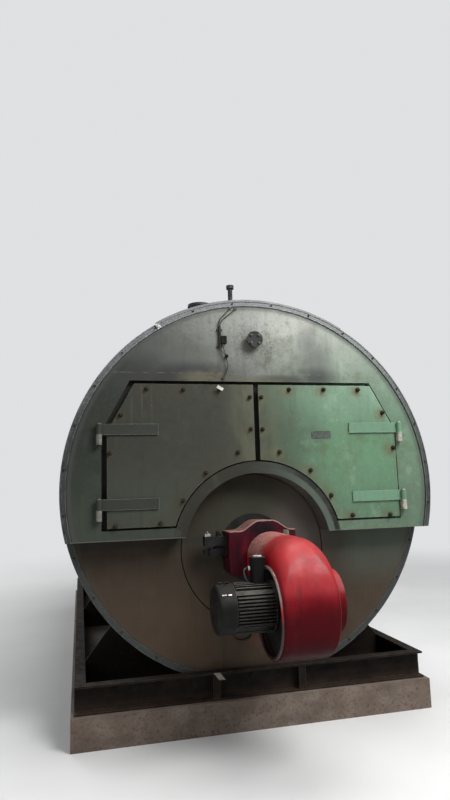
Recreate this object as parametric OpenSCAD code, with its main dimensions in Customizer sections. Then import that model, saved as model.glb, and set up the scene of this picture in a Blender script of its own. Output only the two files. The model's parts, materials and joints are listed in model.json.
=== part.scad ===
// Fire-tube boiler with a hinged pair of smokebox doors and a side-motor burner.
// Millimetres. X to the right, Y towards the back, Z up, seen from the burner end.
// The origin is the middle of the plinth's underside.

/* [Shell] */
// Outer diameter over the cladding
shell_od = 2400; // [2300:10:2500]
// Length from the smokebox front to the rear plate
shell_len = 4600; // [4200:50:5200]
// Width of the rim that shows round the front plate
rim_w = 36; // [30:1:45]
// Thickness of the insulation and its cladding
cladding_t = 80; // [60:5:90]
// Height of the overlapping sheet on top of the cladding
strip_t = 12; // [6:1:16]
// Half angle covered by the overlapping sheet
strip_angle = 31; // [25:1:38]

/* [Smokebox] */
// How far the smokebox stands in front of the lower plate
smokebox_reach = 160; // [140:5:200]
// Depth of the smokebox from its front to the tube plate
smokebox_depth = 300; // [270:10:400]
// Level of the smokebox bottom below the shell axis
smokebox_drop = 290; // [280:2:300]
// Plate thickness of the smokebox
plate_t = 10; // [8:1:14]
// Thickness of the tube plate
tube_plate_t = 25; // [20:1:32]
// Outer diameter of a fire tube
tube_od = 76; // [60:1:80]
// Distance between neighbouring fire tubes
tube_pitch = 124; // [104:2:130]

/* [Doors] */
// Level of the door top above the shell axis
door_top = 646; // [620:2:660]
// Level of the door bottom below the shell axis
door_drop = 216; // [205:1:222]
// Half width of the door opening
opening_half = 965; // [955:1:975]
// Shift of the door pair to the right of the middle plane
door_shift = 5; // [0:1:8]
// Where the opening's slanted corner starts along its top
corner_x = 795; // [780:5:810]
// Slant of the corner away from upright
slant = 29; // [26:0.5:32]
// Thickness of an insulated door
door_t = 54; // [40:1:60]
// Gap between the doors
centre_gap = 34; // [28:1:38]
// Gap beside the left door
left_gap = 32; // [26:1:34]
// Gap beside the right door
right_gap = 10; // [9:1:14]
// Gap over the doors
top_gap = 21; // [14:1:24]
// Gap under the doors
under_gap = 14; // [10:1:18]
// Gap along the arch
arch_gap = 9; // [8:1:14]
// Thickness of a door's front panel
panel_t = 14; // [10:1:20]
// How far the insulated plug lies inside the panel's edge
plug_in = 26; // [20:1:32]
// Width of the sealing face behind a door
seal_w = 64; // [50:1:80]

/* [Hinges] */
// Distance of the hinge axes from the middle of the door pair
hinge_at = 980; // [978:1:990]
// Distance of the hinge axis in front of the plate
hinge_front = 30; // [28:1:36]
// Outer radius of a hinge knuckle
knuckle_r = 17; // [15:1:20]
// Radius of the hinge pin
pin_r = 9; // [7:1:10]
// Level of the upper strap's middle above the shell axis
strap_up = 366; // [340:2:380]
// Level of the lower strap's middle below the shell axis
strap_low = 78; // [60:2:100]
// Height of a hinge strap
strap_h = 64; // [50:2:70]
// Thickness of a hinge strap
strap_t = 12; // [8:1:14]
// Distance of a strap's end from the middle of the door pair
strap_from = 627; // [600:1:660]

/* [Furnace front] */
// Level of the burner axis below the shell axis
burner_drop = 383; // [370:1:390]
// Radius of the arch opening
arch_r = 471; // [460:1:480]
// Width of the plate strip round the arch
arch_strip = 71; // [60:1:76]
// Seam round the furnace disc
disc_gap = 6; // [4:1:8]

/* [Base] */
// Height of the concrete plinth
plinth_h = 180; // [150:5:220]
// Width of the plinth
plinth_w = 2260; // [2240:10:2320]
// Height of the skid channels
beam_h = 160; // [140:5:180]
// Flange width of the skid channels
beam_b = 65; // [55:1:75]
// Web thickness of the skid channels
beam_web = 8; // [6:1:10]
// Flange thickness of the skid channels
beam_flange = 11; // [9:1:13]
// How far the skid top lies above the bottom of the front plate
beam_overlap = 59; // [40:1:70]
// Thickness of a saddle plate
saddle_t = 20; // [15:1:25]
// Number of saddles
saddle_count = 3; // [2:1:4]

/* [Burner] */
// Radius of the round mounting flange
flange_r = 215; // [205:1:225]
// Half width of the burner head at its shoulders
head_hw = 208; // [200:1:215]
// Distance of the head's front from the smokebox front
head_front = 60; // [40:5:90]
// Level of the head's crown above the burner axis
head_crown = 177; // [165:1:185]
// Level of the head's shoulders above the burner axis
head_shoulder = 118; // [112:1:125]
// Distance of the fan axis from the smokebox front
fan_fwd = 464; // [440:2:480]
// Level of the fan axis below the burner axis
fan_drop = 241; // [235:1:250]
// Radius of the fan scroll at its front
scroll_r = 268; // [262:1:275]
// Growth of the fan scroll's radius over half a turn
scroll_growth = 30; // [24:1:36]
// Level of the scroll's outlet above the burner axis
outlet_rise = 112; // [104:1:118]
// Left side of the fan scroll, from the middle plane
scroll_left = 104; // [100:1:112]
// Right side of the fan scroll, from the middle plane
scroll_right = 200; // [190:1:215]
// Radius of the motor plate in the scroll's left side
motor_plate_r = 224; // [215:1:228]
// Depth at which the motor plate lies in the scroll's left side
motor_plate_in = 26; // [20:1:40]
// Outer radius over the motor's fins
motor_r = 133; // [128:1:140]
// Length of the finned motor body
motor_len = 224; // [200:2:240]
// Length of the motor's fan cowl
cowl_len = 100; // [90:1:110]
// Number of fins on each of the motor's four sides
fin_count = 9; // [5:2:9]
// Distance between neighbouring fins
fin_pitch = 17; // [15:0.5:17.5]

/* [Fittings] */
// Nominal bore of the steam outlet
steam_bore = 100; // [80:5:125]
// Height of the steam outlet's flange face above the shell
steam_rise = 495; // [460:5:560]
// Distance of the steam outlet from the smokebox front
steam_y = 1720; // [1600:10:1900]
// Height of the vent pipe above the shell
vent_rise = 290; // [260:5:360]
// Distance of the vent pipe from the smokebox front
vent_y = 550; // [500:10:640]
// Level of the front stub above the shell axis
stub_z = 935; // [910:1:960]
// Bore of the flue outlet at the back
flue_bore = 420; // [360:10:460]

/* [Hidden] */
$fn = 96;

shell_r = shell_od / 2;
plate_r = shell_r - rim_w - 2;
vessel_r = shell_r - cladding_t;
beam_top = -plate_r + beam_overlap;
beam_low = beam_top - beam_h;
axis_z = plinth_h - beam_low;
plinth_front = 60;
plinth_len = shell_len - 2 * plinth_front;
front_y = -plinth_front - plinth_len / 2;
skid_in = 20;
skid_x = plinth_w / 2 - skid_in;
arch_z = -burner_drop;
arch_out = arch_r + arch_strip;
lower_t = smokebox_depth - smokebox_reach;
shell_start = smokebox_depth + tube_plate_t;
seal_gap = 0.5;
door_front = -6;
door_back = door_front + door_t;
slant_line = corner_x * cos(slant) + (door_top + top_gap) * sin(slant);
fan_z = arch_z - fan_drop;
plate_drop = 30;
plate_fwd = 12;
head_back = smokebox_reach - 20;
fin_in = 2;
big = 2 * shell_od;
steam_neck_r = steam_bore / 2 + 7;
vent_r = 17;
pipe_gap = 1;
bore_clear = 0.08;
fit_gap = 0.3;
knuckle_gap = 0.3;
stub_r = 30;
lug_w = 30;
lug_l = 160;
lug_front = 1150;
lug_back = 900;
tube_low = -150;
tube_edge = 110;
conduit_x = -222;
conduit_y = -12;
conduit_r = 8;
conduit_low = 880;
conduit_h = 142;
ball_at = [-182, -20, 826];
ball_r = 12;
lead_r = 3.5;

// The two leads come out of glands under the rim and run down into the conduit.
upper_routes = [
    [
        [-112, -8, 1142], [-116, -14, 1138], [-126, -17, 1128], [-148, -17, 1108], [-172, -16, 1090],
        [-194, -15, 1072], [-209, -14, 1052], [-217, -12, 1036], [-218, -12, 1022.6]
    ],
    [
        [-146, -8, 1144], [-150, -14, 1140], [-160, -15, 1128], [-178, -14, 1108], [-198, -13, 1090],
        [-214, -12, 1070], [-223, -12, 1050], [-226, -12, 1036], [-226, -12, 1022.6]
    ]
];

// The thin lead runs from the ball joint to its probe over the door.
lower_route = [
    [-182, -20, 813.6], [-182, -20, 806], [-179, -20, 794], [-175, -19, 772], [-178, -18, 748], [-186, -16, 724],
    [-194, -14, 706], [-200, -12, 696], [-203, -10, 690]
];

// Moves a piece from the shell's own frame to the part's frame.
module place() {
    translate([0, front_y, axis_z]) children();
}

// Extrudes a profile drawn in X and Z between two distances along Y.
module along_y(y0, y1) {
    translate([0, y1, 0]) rotate([90, 0, 0]) linear_extrude(y1 - y0) children();
}

// Extrudes a profile drawn in Y and Z between two distances along X.
module along_x(x0, x1) {
    translate([x0, 0, 0]) rotate([90, 0, 90]) linear_extrude(x1 - x0) children();
}

// A round bar along Y.
module bar_y(r, y0, y1) {
    translate([0, y0, 0]) rotate([-90, 0, 0]) cylinder(r = r, h = y1 - y0);
}

// A round bar along X.
module bar_x(r, x0, x1) {
    translate([x0, 0, 0]) rotate([0, 90, 0]) cylinder(r = r, h = x1 - x0);
}

// Mirrors a piece made on the right to the left side when side is -1.
module on_side(side) {
    if (side < 0) mirror([1, 0, 0]) children();
    else children();
}

// The part of a front view above the smokebox bottom.
module upper_part(margin = 0) {
    translate([-big / 2, -smokebox_drop + margin]) square([big, big]);
}

// Where the slanted edge crosses a level or an upright, moved inwards by a distance.
function slant_x(z, inward) = (slant_line - inward - z * sin(slant)) / cos(slant);
function slant_z(x, inward) = (slant_line - inward - x * cos(slant)) / sin(slant);

// Moves a piece drawn for a right door to either door's place.
module at_door(side) {
    translate([door_shift, 0, 0]) on_side(side) children();
}

// Half of the door opening, drawn in by a distance at the side, top, bottom and arch.
module half_opening(side, from_side, from_top, from_low, from_arch, inner_x) {
    edge = opening_half - from_side;
    top = door_top + top_gap - from_top;
    low = -door_drop - under_gap + from_low;
    difference() {
        polygon([
            [inner_x, low], [edge, low], [edge, slant_z(edge, from_side)],
            [slant_x(top, from_side), top], [inner_x, top]
        ]);
        translate([-side * door_shift, arch_z]) circle(r = arch_out + from_arch);
    }
}

// The outline of a door, drawn in all round by a distance.
module door_outline(side, inward) {
    side_gap = side < 0 ? left_gap : right_gap;
    half_opening(side, side_gap + inward, top_gap + inward, under_gap + inward, arch_gap + inward,
        centre_gap / 2 + inward);
}

// Base

module plinth() {
    color("gray") translate([-plinth_w / 2, -plinth_len / 2, 0]) cube([plinth_w, plinth_len, plinth_h]);
}

module skid(side) {
    skid_len = shell_len - 2 * smokebox_reach;
    color("dimgray") place() on_side(side) difference() {
        translate([skid_x - beam_b, smokebox_reach, beam_low]) cube([beam_b, skid_len, beam_h]);
        translate([skid_x - beam_b - 1, smokebox_reach - 1, beam_low + beam_flange])
            cube([beam_b - beam_web + 1, skid_len + 2, beam_h - 2 * beam_flange]);
    }
}

module crossbeam(open_y, web_y) {
    color("dimgray") place() difference() {
        translate([-skid_x, min(open_y, web_y), beam_low]) cube([2 * skid_x, beam_b, beam_h]);
        y0 = open_y < web_y ? open_y - 1 : web_y + beam_web;
        translate([-big / 2, y0, beam_low + beam_flange])
            cube([big, beam_b - beam_web + 1, beam_h - 2 * beam_flange]);
    }
}

module front_crossbeam() {
    rib_x = 274;
    rib_t = 45;
    rib_in = 6;
    tab = [84, 6, 46];
    tab_lean = 34;
    front = smokebox_reach - beam_b;
    crossbeam(front, smokebox_reach);
    color("dimgray") place() {
        for (x = [-rib_x, rib_x])
            translate([x - rib_t / 2, front + rib_in, beam_low + beam_flange])
                cube([rib_t, beam_b - beam_web - rib_in, beam_h - 2 * beam_flange]);
        translate([-rib_x - tab[0] / 4, front + tab[1], beam_top]) rotate([90, 0, 0]) linear_extrude(tab[1])
            polygon([[0, 0], [tab[0] / 2, 0], [tab[0] / 2 + tab_lean, -tab[2]], [tab_lean, -tab[2]]]);
    }
}

module rear_crossbeam() {
    web_y = shell_len - smokebox_reach;
    difference() {
        crossbeam(web_y + beam_b, web_y);
        place() bar_y(shell_r + fit_gap, web_y - 1, web_y + beam_b + 1);
    }
}

module saddles() {
    inner_w = 2 * (skid_x - beam_b);
    front_in = 300;
    back_in = 450;
    first_y = shell_start + front_in;
    last_y = shell_len - back_in;
    step_y = (last_y - first_y) / (saddle_count - 1);
    pad_t = 12;
    pad_w = 160;
    web_half = 0.41 * inner_w;
    web_top = -0.72 * shell_r;
    pad_half = 0.7 * shell_r;
    color("dimgray") place() for (i = [0 : saddle_count - 1]) {
        y = first_y + i * step_y;
        difference() {
            union() {
                along_y(y - saddle_t / 2, y + saddle_t / 2)
                    polygon([
                        [-inner_w / 2, beam_low], [inner_w / 2, beam_low], [inner_w / 2, beam_top],
                        [web_half, web_top], [-web_half, web_top], [-inner_w / 2, beam_top]
                    ]);
                intersection() {
                    bar_y(shell_r + pad_t, y - pad_w / 2, y + pad_w / 2);
                    translate([-pad_half, y - pad_w, -big]) cube([2 * pad_half, 2 * pad_w, big - pad_half]);
                }
            }
            bar_y(shell_r + fit_gap, y - pad_w, y + pad_w);
        }
    }
}

// Shell

module boiler_shell() {
    recess = 12;
    color("silver") place() difference() {
        bar_y(vessel_r, shell_start, shell_len);
        translate([0, steam_y, vessel_r - recess]) cylinder(r = steam_bore / 2 + 3, h = big);
    }
}

module cladding() {
    color("lightgray") place() difference() {
        bar_y(shell_r, shell_start, shell_len);
        bar_y(vessel_r, shell_start - 1, shell_len + 1);
        translate([0, steam_y, 0]) cylinder(r = steam_neck_r + pipe_gap, h = big);
        translate([0, vent_y, 0]) cylinder(r = vent_r + pipe_gap, h = big);
    }
}

module top_cladding_strip() {
    strip_start = 8;
    side_x = big * sin(strip_angle);
    side_z = big * cos(strip_angle);
    color("gainsboro") place() difference() {
        intersection() {
            bar_y(shell_r + strip_t, strip_start, shell_len - plate_t);
            along_y(0, shell_len) polygon([[0, 0], [side_x, side_z], [-side_x, side_z]]);
        }
        bar_y(shell_r + fit_gap, 0, shell_len);
        translate([0, steam_y, 0]) cylinder(r = steam_neck_r + pipe_gap, h = big);
        translate([0, vent_y, 0]) cylinder(r = vent_r + pipe_gap, h = big);
        for (y = lug_places()) translate([-lug_w / 2, y - lug_l / 2, 0]) cube([lug_w, lug_l, big]);
    }
}

module front_ring() {
    ring_front = -6;
    groove_w = 5;
    groove_d = 5;
    lip_w = 7;
    bead_w = 5;
    bead_d = 3;
    inner_r = shell_r - rim_w;
    color("darkgray") place() difference() {
        rotate([-90, 0, 0]) rotate_extrude() polygon([
            [inner_r, shell_start], [inner_r, ring_front - bead_d],
            [inner_r + bead_w, ring_front - bead_d], [inner_r + bead_w, ring_front],
            [shell_r - lip_w - groove_w, ring_front], [shell_r - lip_w - groove_w, ring_front + groove_d],
            [shell_r - lip_w, ring_front + groove_d], [shell_r - lip_w, ring_front],
            [shell_r, ring_front], [shell_r, shell_start]
        ]);
        translate([-big / 2, -big + smokebox_reach, -big - smokebox_drop]) cube([big, big, big]);
    }
}

// Smokebox

module front_plate() {
    color("darkseagreen") place() difference() {
        along_y(0, plate_t) difference() {
            intersection() {
                circle(r = plate_r);
                upper_part();
            }
            translate([0, arch_z]) circle(r = arch_r);
            for (side = [-1, 1]) at_door(side) half_opening(side, 0, 0, 0, 0, -1);
        }
        translate([0, 0, stub_z]) bar_y(stub_r, -1, plate_t + 1);
    }
}

module smokebox_wall() {
    color("darkseagreen") place() along_y(plate_t, smokebox_depth) difference() {
        intersection() {
            union() {
                difference() {
                    circle(r = plate_r);
                    circle(r = plate_r - plate_t);
                }
                translate([-plate_r, -smokebox_drop]) square([2 * plate_r, plate_t]);
                translate([0, arch_z]) circle(r = arch_r + plate_t);
            }
            circle(r = plate_r);
            upper_part();
        }
        translate([0, arch_z]) circle(r = arch_r);
    }
}

// The door opening grown all round by the same amount behind the front plate.
module frame_outline(side, grow, inner_x) {
    half_opening(side, -grow, -grow, -grow, -grow, inner_x);
}

module door_frame() {
    wall = 8;
    inset = 2;
    seat_y = door_back + seal_gap;
    color("dimgray") place() for (side = [-1, 1]) at_door(side) {
        along_y(plate_t, seat_y) difference() {
            frame_outline(side, inset + wall, 0);
            frame_outline(side, inset, -1);
        }
        along_y(seat_y, seat_y + plate_t) difference() {
            frame_outline(side, inset + wall, 0);
            door_outline(side, seal_w);
        }
    }
}

// Places of the fire tubes in rows that stand in each other's gaps.
function tube_places() = [
    for (row = [0 : 9], col = [-9 : 9])
        let (x = (col + (row % 2) / 2) * tube_pitch, z = tube_low + row * tube_pitch * sin(60))
        if (norm([x, z]) < vessel_r - tube_edge && norm([x, z - arch_z]) > arch_r + tube_edge) [x, z]
];

module tube_plate() {
    color("slategray") place() difference() {
        bar_y(plate_r - 1, smokebox_depth, shell_start);
        for (p = tube_places()) translate([p[0], 0, p[1]]) bar_y(tube_od / 2 + fit_gap, 0, shell_len);
    }
}

module fire_tubes() {
    stand_out = 8;
    wall = 4;
    color("gray") place() for (p = tube_places()) translate([p[0], 0, p[1]]) difference() {
        bar_y(tube_od / 2, smokebox_depth - stand_out, shell_start);
        bar_y(tube_od / 2 - wall, 0, shell_len);
    }
}

module lower_front_plate() {
    color("tan") place() along_y(smokebox_reach, smokebox_depth) difference() {
        circle(r = plate_r);
        difference() {
            upper_part();
            translate([0, arch_z]) circle(r = arch_r - fit_gap);
        }
        translate([0, arch_z]) circle(r = arch_r);
    }
}

module furnace_disc() {
    color("tan") place() translate([0, 0, arch_z]) bar_y(arch_r - disc_gap, smokebox_reach, smokebox_depth);
}

// Doors

module door(side) {
    panel_back = door_front + panel_t;
    color("darkseagreen") place() at_door(side) {
        along_y(door_front, panel_back) door_outline(side, 0);
        along_y(panel_back, door_back) door_outline(side, plug_in);
    }
}

module strap(level) {
    translate([strap_from, door_front - strap_t, level - strap_h / 2])
        cube([hinge_at - strap_from, strap_t, strap_h]);
    translate([hinge_at, -hinge_front, level - strap_h / 2]) cylinder(r = knuckle_r, h = strap_h);
}

module door_straps(side) {
    color("darkseagreen") place() at_door(side) difference() {
        union() {
            strap(strap_up);
            strap(-strap_low);
        }
        translate([hinge_at, -hinge_front, -big / 2]) cylinder(r = pin_r + bore_clear, h = big);
    }
}

module hinge_half(level) {
    low_h = 60;
    pin_out = 6;
    top = level - strap_h / 2 - knuckle_gap;
    pin_top = level + strap_h / 2 + pin_out;
    leaf_in = 11;
    translate([hinge_at, -hinge_front, top - low_h]) {
        cylinder(r = knuckle_r, h = low_h);
        cylinder(r = pin_r, h = pin_top - top + low_h);
    }
    translate([hinge_at - leaf_in, -hinge_front, top - low_h])
        cube([leaf_in + knuckle_r, hinge_front, low_h]);
}

module hinges(side) {
    color("khaki") place() at_door(side) {
        hinge_half(strap_up);
        hinge_half(-strap_low);
    }
}

// Front fittings

module front_stub() {
    flange = 52;
    reach = 52;
    flange_t = 16;
    hole_at = 38;
    hole_r = 4.5;
    hole_depth = 8;
    color("dimgray") place() translate([0, 0, stub_z]) difference() {
        union() {
            bar_y(stub_r, -reach, plate_t);
            bar_y(flange, -reach, -reach + flange_t);
        }
        for (a = [45 : 90 : 315]) rotate([0, a, 0]) translate([hole_at, 0, 0])
            bar_y(hole_r, -reach - 1, -reach + hole_depth);
    }
}

module sensor_conduit() {
    clip_w = 34;
    clip_h = 12;
    clip_low = 4;
    clip_high = conduit_h - 30;
    color("silver") place() {
        translate([conduit_x, conduit_y, conduit_low]) cylinder(r = conduit_r, h = conduit_h);
        for (z = [clip_low, clip_high])
            translate([conduit_x - clip_w / 2, conduit_y, conduit_low + z])
                cube([clip_w, -conduit_y, clip_h]);
    }
}

module sensor_box() {
    box = [34, 30, 46];
    box_up = 30;
    socket_r = 8;
    color("dimgray") place() {
        translate([conduit_x + conduit_r + fit_gap, -box[1], conduit_low + box_up]) cube(box);
        translate([ball_at[0], 0, ball_at[2]]) rotate([90, 0, 0]) cylinder(r = socket_r, h = -ball_at[1]);
        translate(ball_at) sphere(r = ball_r);
    }
}

// A tube swept along a list of points, with a ring of corners at each point.
module swept_tube(path, r, sides) {
    last = len(path) - 1;
    rings = [for (i = [0 : last])
        let (
            ahead = path[min(i + 1, last)] - path[max(i - 1, 0)],
            run = ahead / norm(ahead),
            flat = abs(run[1]) > 0.9 ? [1, 0, 0] : [0, 1, 0],
            across = cross(run, flat) / norm(cross(run, flat)),
            over = cross(run, across)
        )
        for (k = [0 : sides - 1])
            path[i] + r * (cos(360 * k / sides) * across + sin(360 * k / sides) * over)];
    walls = [for (i = [0 : last - 1], k = [0 : sides - 1])
        let (next = (k + 1) % sides)
        [i * sides + k, (i + 1) * sides + k, (i + 1) * sides + next, i * sides + next]];
    start_cap = [for (k = [0 : sides - 1]) k];
    end_cap = [for (k = [sides - 1 : -1 : 0]) last * sides + k];
    polyhedron(points = rings, faces = concat([start_cap], walls, [end_cap]));
}

module sensor_lead() {
    gland_r = 9;
    gland_t = 9;
    probe_r = 9;
    probe_h = 12;
    low_end = lower_route[len(lower_route) - 1];
    color("dimgray") place() {
        for (route = upper_routes) {
            swept_tube(route, lead_r, 8);
            translate([route[0][0], 0, route[0][2]]) rotate([90, 0, 0]) cylinder(r = gland_r, h = gland_t);
        }
        swept_tube(lower_route, lead_r, 8);
        translate([low_end[0], 0, low_end[2]]) rotate([90, 0, 0]) cylinder(r = probe_r, h = probe_h);
    }
}

// Top fittings

function lug_places() = [lug_front, shell_len - lug_back];

module steam_outlet() {
    flange = steam_bore / 2 + 60;
    flange_t = 22;
    bolt_r = 9;
    bolt_circle = steam_bore / 2 + 40;
    face = shell_r + steam_rise;
    root = vessel_r - 20;
    color("dimgray") place() translate([0, steam_y, 0]) difference() {
        union() {
            translate([0, 0, root]) cylinder(r = steam_neck_r, h = face - root);
            translate([0, 0, face - flange_t]) cylinder(r = flange, h = flange_t);
        }
        bar_y(vessel_r, -steam_y, shell_len);
        translate([0, 0, root - 1]) cylinder(r = steam_bore / 2, h = big);
        for (a = [22.5 : 45 : 359]) rotate([0, 0, a])
            translate([bolt_circle, 0, face - flange_t - 1]) cylinder(r = bolt_r, h = flange_t + 2);
    }
}

module vent_pipe() {
    cap_r = 28;
    cap_h = 26;
    face = shell_r + vent_rise;
    root = vessel_r - 20;
    color("dimgray") place() translate([0, vent_y, 0]) difference() {
        union() {
            translate([0, 0, root]) cylinder(r = vent_r, h = face - root);
            translate([0, 0, face - cap_h]) cylinder(r = cap_r, h = cap_h);
        }
        bar_y(vessel_r, -vent_y, shell_len);
    }
}

module lifting_lugs() {
    lug_rise = 130;
    eye_r = 27;
    eye_up = 75;
    color("dimgray") place() for (y = lug_places()) difference() {
        translate([-lug_w / 2, y - lug_l / 2, 0]) cube([lug_w, lug_l, shell_r + lug_rise]);
        bar_y(shell_r + fit_gap, 0, shell_len);
        translate([0, y, shell_r + eye_up]) bar_x(eye_r, -lug_w, lug_w);
    }
}

// Back

module rear_plate() {
    color("darkseagreen") place() bar_y(plate_r, shell_len, shell_len + plate_t);
}

module rear_hatch() {
    hatch_r = 300;
    hub_r = 60;
    layer = 30;
    back = shell_len + plate_t;
    color("darkseagreen") place() translate([0, 0, arch_z]) {
        bar_y(hatch_r, back, back + layer);
        bar_y(hub_r, back, back + 2 * layer);
    }
}

module flue_outlet() {
    flue_t = 6;
    flange = 45;
    flange_t = 10;
    reach = 130;
    back = shell_len + plate_t;
    color("dimgray") place() translate([0, 0, shell_r / 2]) difference() {
        union() {
            bar_y(flue_bore / 2 + flue_t, back, back + reach);
            bar_y(flue_bore / 2 + flange, back + reach - flange_t, back + reach);
        }
        bar_y(flue_bore / 2, back - 1, back + reach + 1);
    }
}

// Burner

module burner_flange() {
    color("black") place() translate([0, 0, arch_z]) bar_y(flange_r, head_back, smokebox_reach);
}

// Height of the head's top edge at a place across it: a crown that falls to the shoulders.
function head_top(x) =
    let (
        crown_x = 22,
        shoulder_at = 165,
        crown_at = 40,
        t = max(0, min(1, (shoulder_at - abs(x - crown_x)) / (shoulder_at - crown_at)))
    )
    head_shoulder + (head_crown - head_shoulder) * t * t * (3 - 2 * t);

module head_profile(grow) {
    foot = -139;
    foot_hw = 0.96 * head_hw;
    side_low = -60;
    steps = 24;
    polygon(concat(
        [for (i = [0 : steps])
            let (x = -head_hw + 2 * head_hw * i / steps)
            [x * (1 + grow / head_hw), head_top(x) + grow]],
        [
            [head_hw + grow, side_low], [foot_hw + grow, foot - grow],
            [-foot_hw - grow, foot - grow], [-head_hw - grow, side_low]
        ]
    ));
}

module burner_head() {
    lip = 5;
    lip_t = 12;
    color("firebrick") place() translate([0, 0, arch_z]) {
        along_y(-head_front, -head_front + lip_t) head_profile(lip);
        along_y(-head_front + lip_t, head_back) head_profile(0);
    }
}

// A block on the left of the head, from its corner towards the left, the back and the top.
module hinge_block(reach, front, low, size) {
    translate([-reach, front, low]) cube(size);
}

module burner_hinge() {
    arm = [78, 80, 53];
    arm_front = 16;
    arm_low = 37;
    servo = [59, 66, 56];
    servo_front = 8;
    servo_low = 36;
    pivot_r = 12;
    pivot_h = 31;
    pivot_x = -48;
    pivot_y = 50;
    link = [70, 44, 23];
    link_front = 30;
    link_low = 15;
    low_arm = [105, 58, 40];
    low_arm_front = 22;
    low_arm_low = -24;
    plug = [32, 30, 32];
    plug_front = 36;
    plug_low = -20;
    color("black") place() translate([-head_hw, 0, arch_z]) {
        hinge_block(arm[0], arm_front, arm_low, arm);
        hinge_block(arm[0] + servo[0], servo_front, servo_low, servo);
        translate([pivot_x, pivot_y, arm_low + arm[2]]) cylinder(r = pivot_r, h = pivot_h);
        hinge_block(link[0], link_front, link_low, link);
        hinge_block(low_arm[0], low_arm_front, low_arm_low, low_arm);
        hinge_block(low_arm[0] + plug[0], plug_front, plug_low, plug);
    }
}

// How far up the scroll an angle lies, from 0 over the front to 1 at the top.
function near_top(a) = max(0, (70 - a) / 70);

// Radius of the fan scroll at an angle measured from straight up, turning forwards.
function scroll_radius(a) =
    let (spiral = scroll_r + scroll_growth * (a - 90) / 180, top = fan_drop + outlet_rise)
    spiral + (top - scroll_r + scroll_growth / 2) * near_top(a) * near_top(a);

// Side view of the scroll about the fan axis, its outlet drawn past the head's front.
module scroll_profile() {
    past = 60;
    outlet_fall = 140;
    outlet_end = fan_fwd - head_front + past;
    outlet_low = fan_drop - outlet_fall;
    polygon(concat(
        [[outlet_end, fan_drop + outlet_rise]],
        [for (a = [0 : 10 : 290]) [-scroll_radius(a) * sin(a), scroll_radius(a) * cos(a)]],
        [[outlet_end, outlet_low]]
    ));
}

// Front view of the scroll: flat sides under an arched outlet.
module scroll_front_view() {
    round_r = 0.98 * (scroll_left + scroll_right) / 2;
    top = fan_drop + outlet_rise;
    polygon(concat(
        [for (a = [0 : 9 : 90])
            [-scroll_left + round_r - round_r * cos(a), top - round_r + round_r * sin(a)]],
        [for (a = [90 : -9 : 0])
            [scroll_right - round_r + round_r * cos(a), top - round_r + round_r * sin(a)]],
        [[scroll_right, -big], [-scroll_left, -big]]
    ));
}

// One side of the scroll, drawn in at its face and widening to the full outline.
module scroll_side(depth) {
    draw_in = 0.953125;
    rotate([90, 0, 90]) linear_extrude(depth, scale = 1 / draw_in) scale(draw_in) scroll_profile();
}

module fan_scroll() {
    edge_w = 16;
    lip_r = 10;
    lip_at = motor_plate_r + lip_r / 2;
    plate_back = -scroll_left + motor_plate_in + plate_t;
    color("firebrick") place() translate([0, -fan_fwd, fan_z]) difference() {
        union() {
            intersection() {
                union() {
                    along_x(-scroll_left + edge_w, scroll_right - edge_w) scroll_profile();
                    translate([-scroll_left, 0, 0]) scroll_side(edge_w);
                    translate([scroll_right, 0, 0]) mirror([1, 0, 0]) scroll_side(edge_w);
                }
                along_y(-big, fan_fwd - head_front) scroll_front_view();
            }
            translate([-scroll_left, -plate_fwd, -plate_drop]) rotate([0, 90, 0]) rotate_extrude()
                translate([lip_at, 0]) circle(r = lip_r);
        }
        translate([0, -plate_fwd, -plate_drop])
            bar_x(motor_plate_r + fit_gap, -scroll_left - lip_r - 1, plate_back);
    }
}

module motor_plate() {
    color("black") place() translate([0, -fan_fwd - plate_fwd, fan_z - plate_drop])
        bar_x(motor_plate_r, -scroll_left + motor_plate_in, -scroll_left + motor_plate_in + plate_t);
}

module fan_inlet() {
    inlet_r = 170;
    reach = 70;
    wall = 12;
    floor_t = 20;
    color("firebrick") place() translate([0, -fan_fwd, fan_z]) difference() {
        bar_x(inlet_r, scroll_right, scroll_right + reach);
        bar_x(inlet_r - wall, scroll_right + floor_t, scroll_right + reach + 1);
    }
}

// The motor lies to the left of the scroll, on the fan axis.
module motor_at() {
    place() translate([-scroll_left + motor_plate_in, -fan_fwd, fan_z]) children();
}

module motor_body() {
    core_r = motor_r - 24;
    fin_t = 4.5;
    fin_sink = 5;
    bell = 20;
    fin_len = motor_len - bell - 6;
    corner = 26;
    corner_in = 6;
    rows = (fin_count - 1) / 2;
    color("black") motor_at() {
        bar_x(core_r, -motor_len, 0);
        bar_x(motor_r, -bell, 0);
        intersection() {
            bar_x(motor_r - fin_in, -motor_len, -bell + 1);
            for (side = [0 : 90 : 270]) rotate([side, 0, 0]) for (i = [-rows : rows])
                translate([-bell - fin_len, sqrt(core_r * core_r - pow(i * fin_pitch, 2)) - fin_sink,
                    i * fin_pitch - fin_t / 2])
                    cube([fin_len + 2, motor_r, fin_t]);
        }
        for (side = [45 : 90 : 315]) rotate([side, 0, 0])
            translate([-motor_len, core_r - corner_in, -corner / 2])
                cube([motor_len - 2, motor_r - core_r, corner]);
    }
}

module motor_cowl() {
    cowl_r = motor_r - 6;
    dome = 32;
    rise = 20;
    ears = [26, 66];
    ear_r = 13;
    ear_h = 19;
    color("black") motor_at() translate([-motor_len - fit_gap, 0, 0]) {
        rotate([0, -90, 0]) rotate_extrude()
            polygon(concat(
                [[0, 0], [cowl_r, 0]],
                [for (a = [0 : 15 : 90]) [cowl_r - dome + dome * cos(a), cowl_len - rise + rise * sin(a)]],
                [[0, cowl_len]]
            ));
        for (x = ears) translate([-x, 0, cowl_r - ear_h / 2]) cylinder(r = ear_r, h = ear_h);
    }
}

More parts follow.
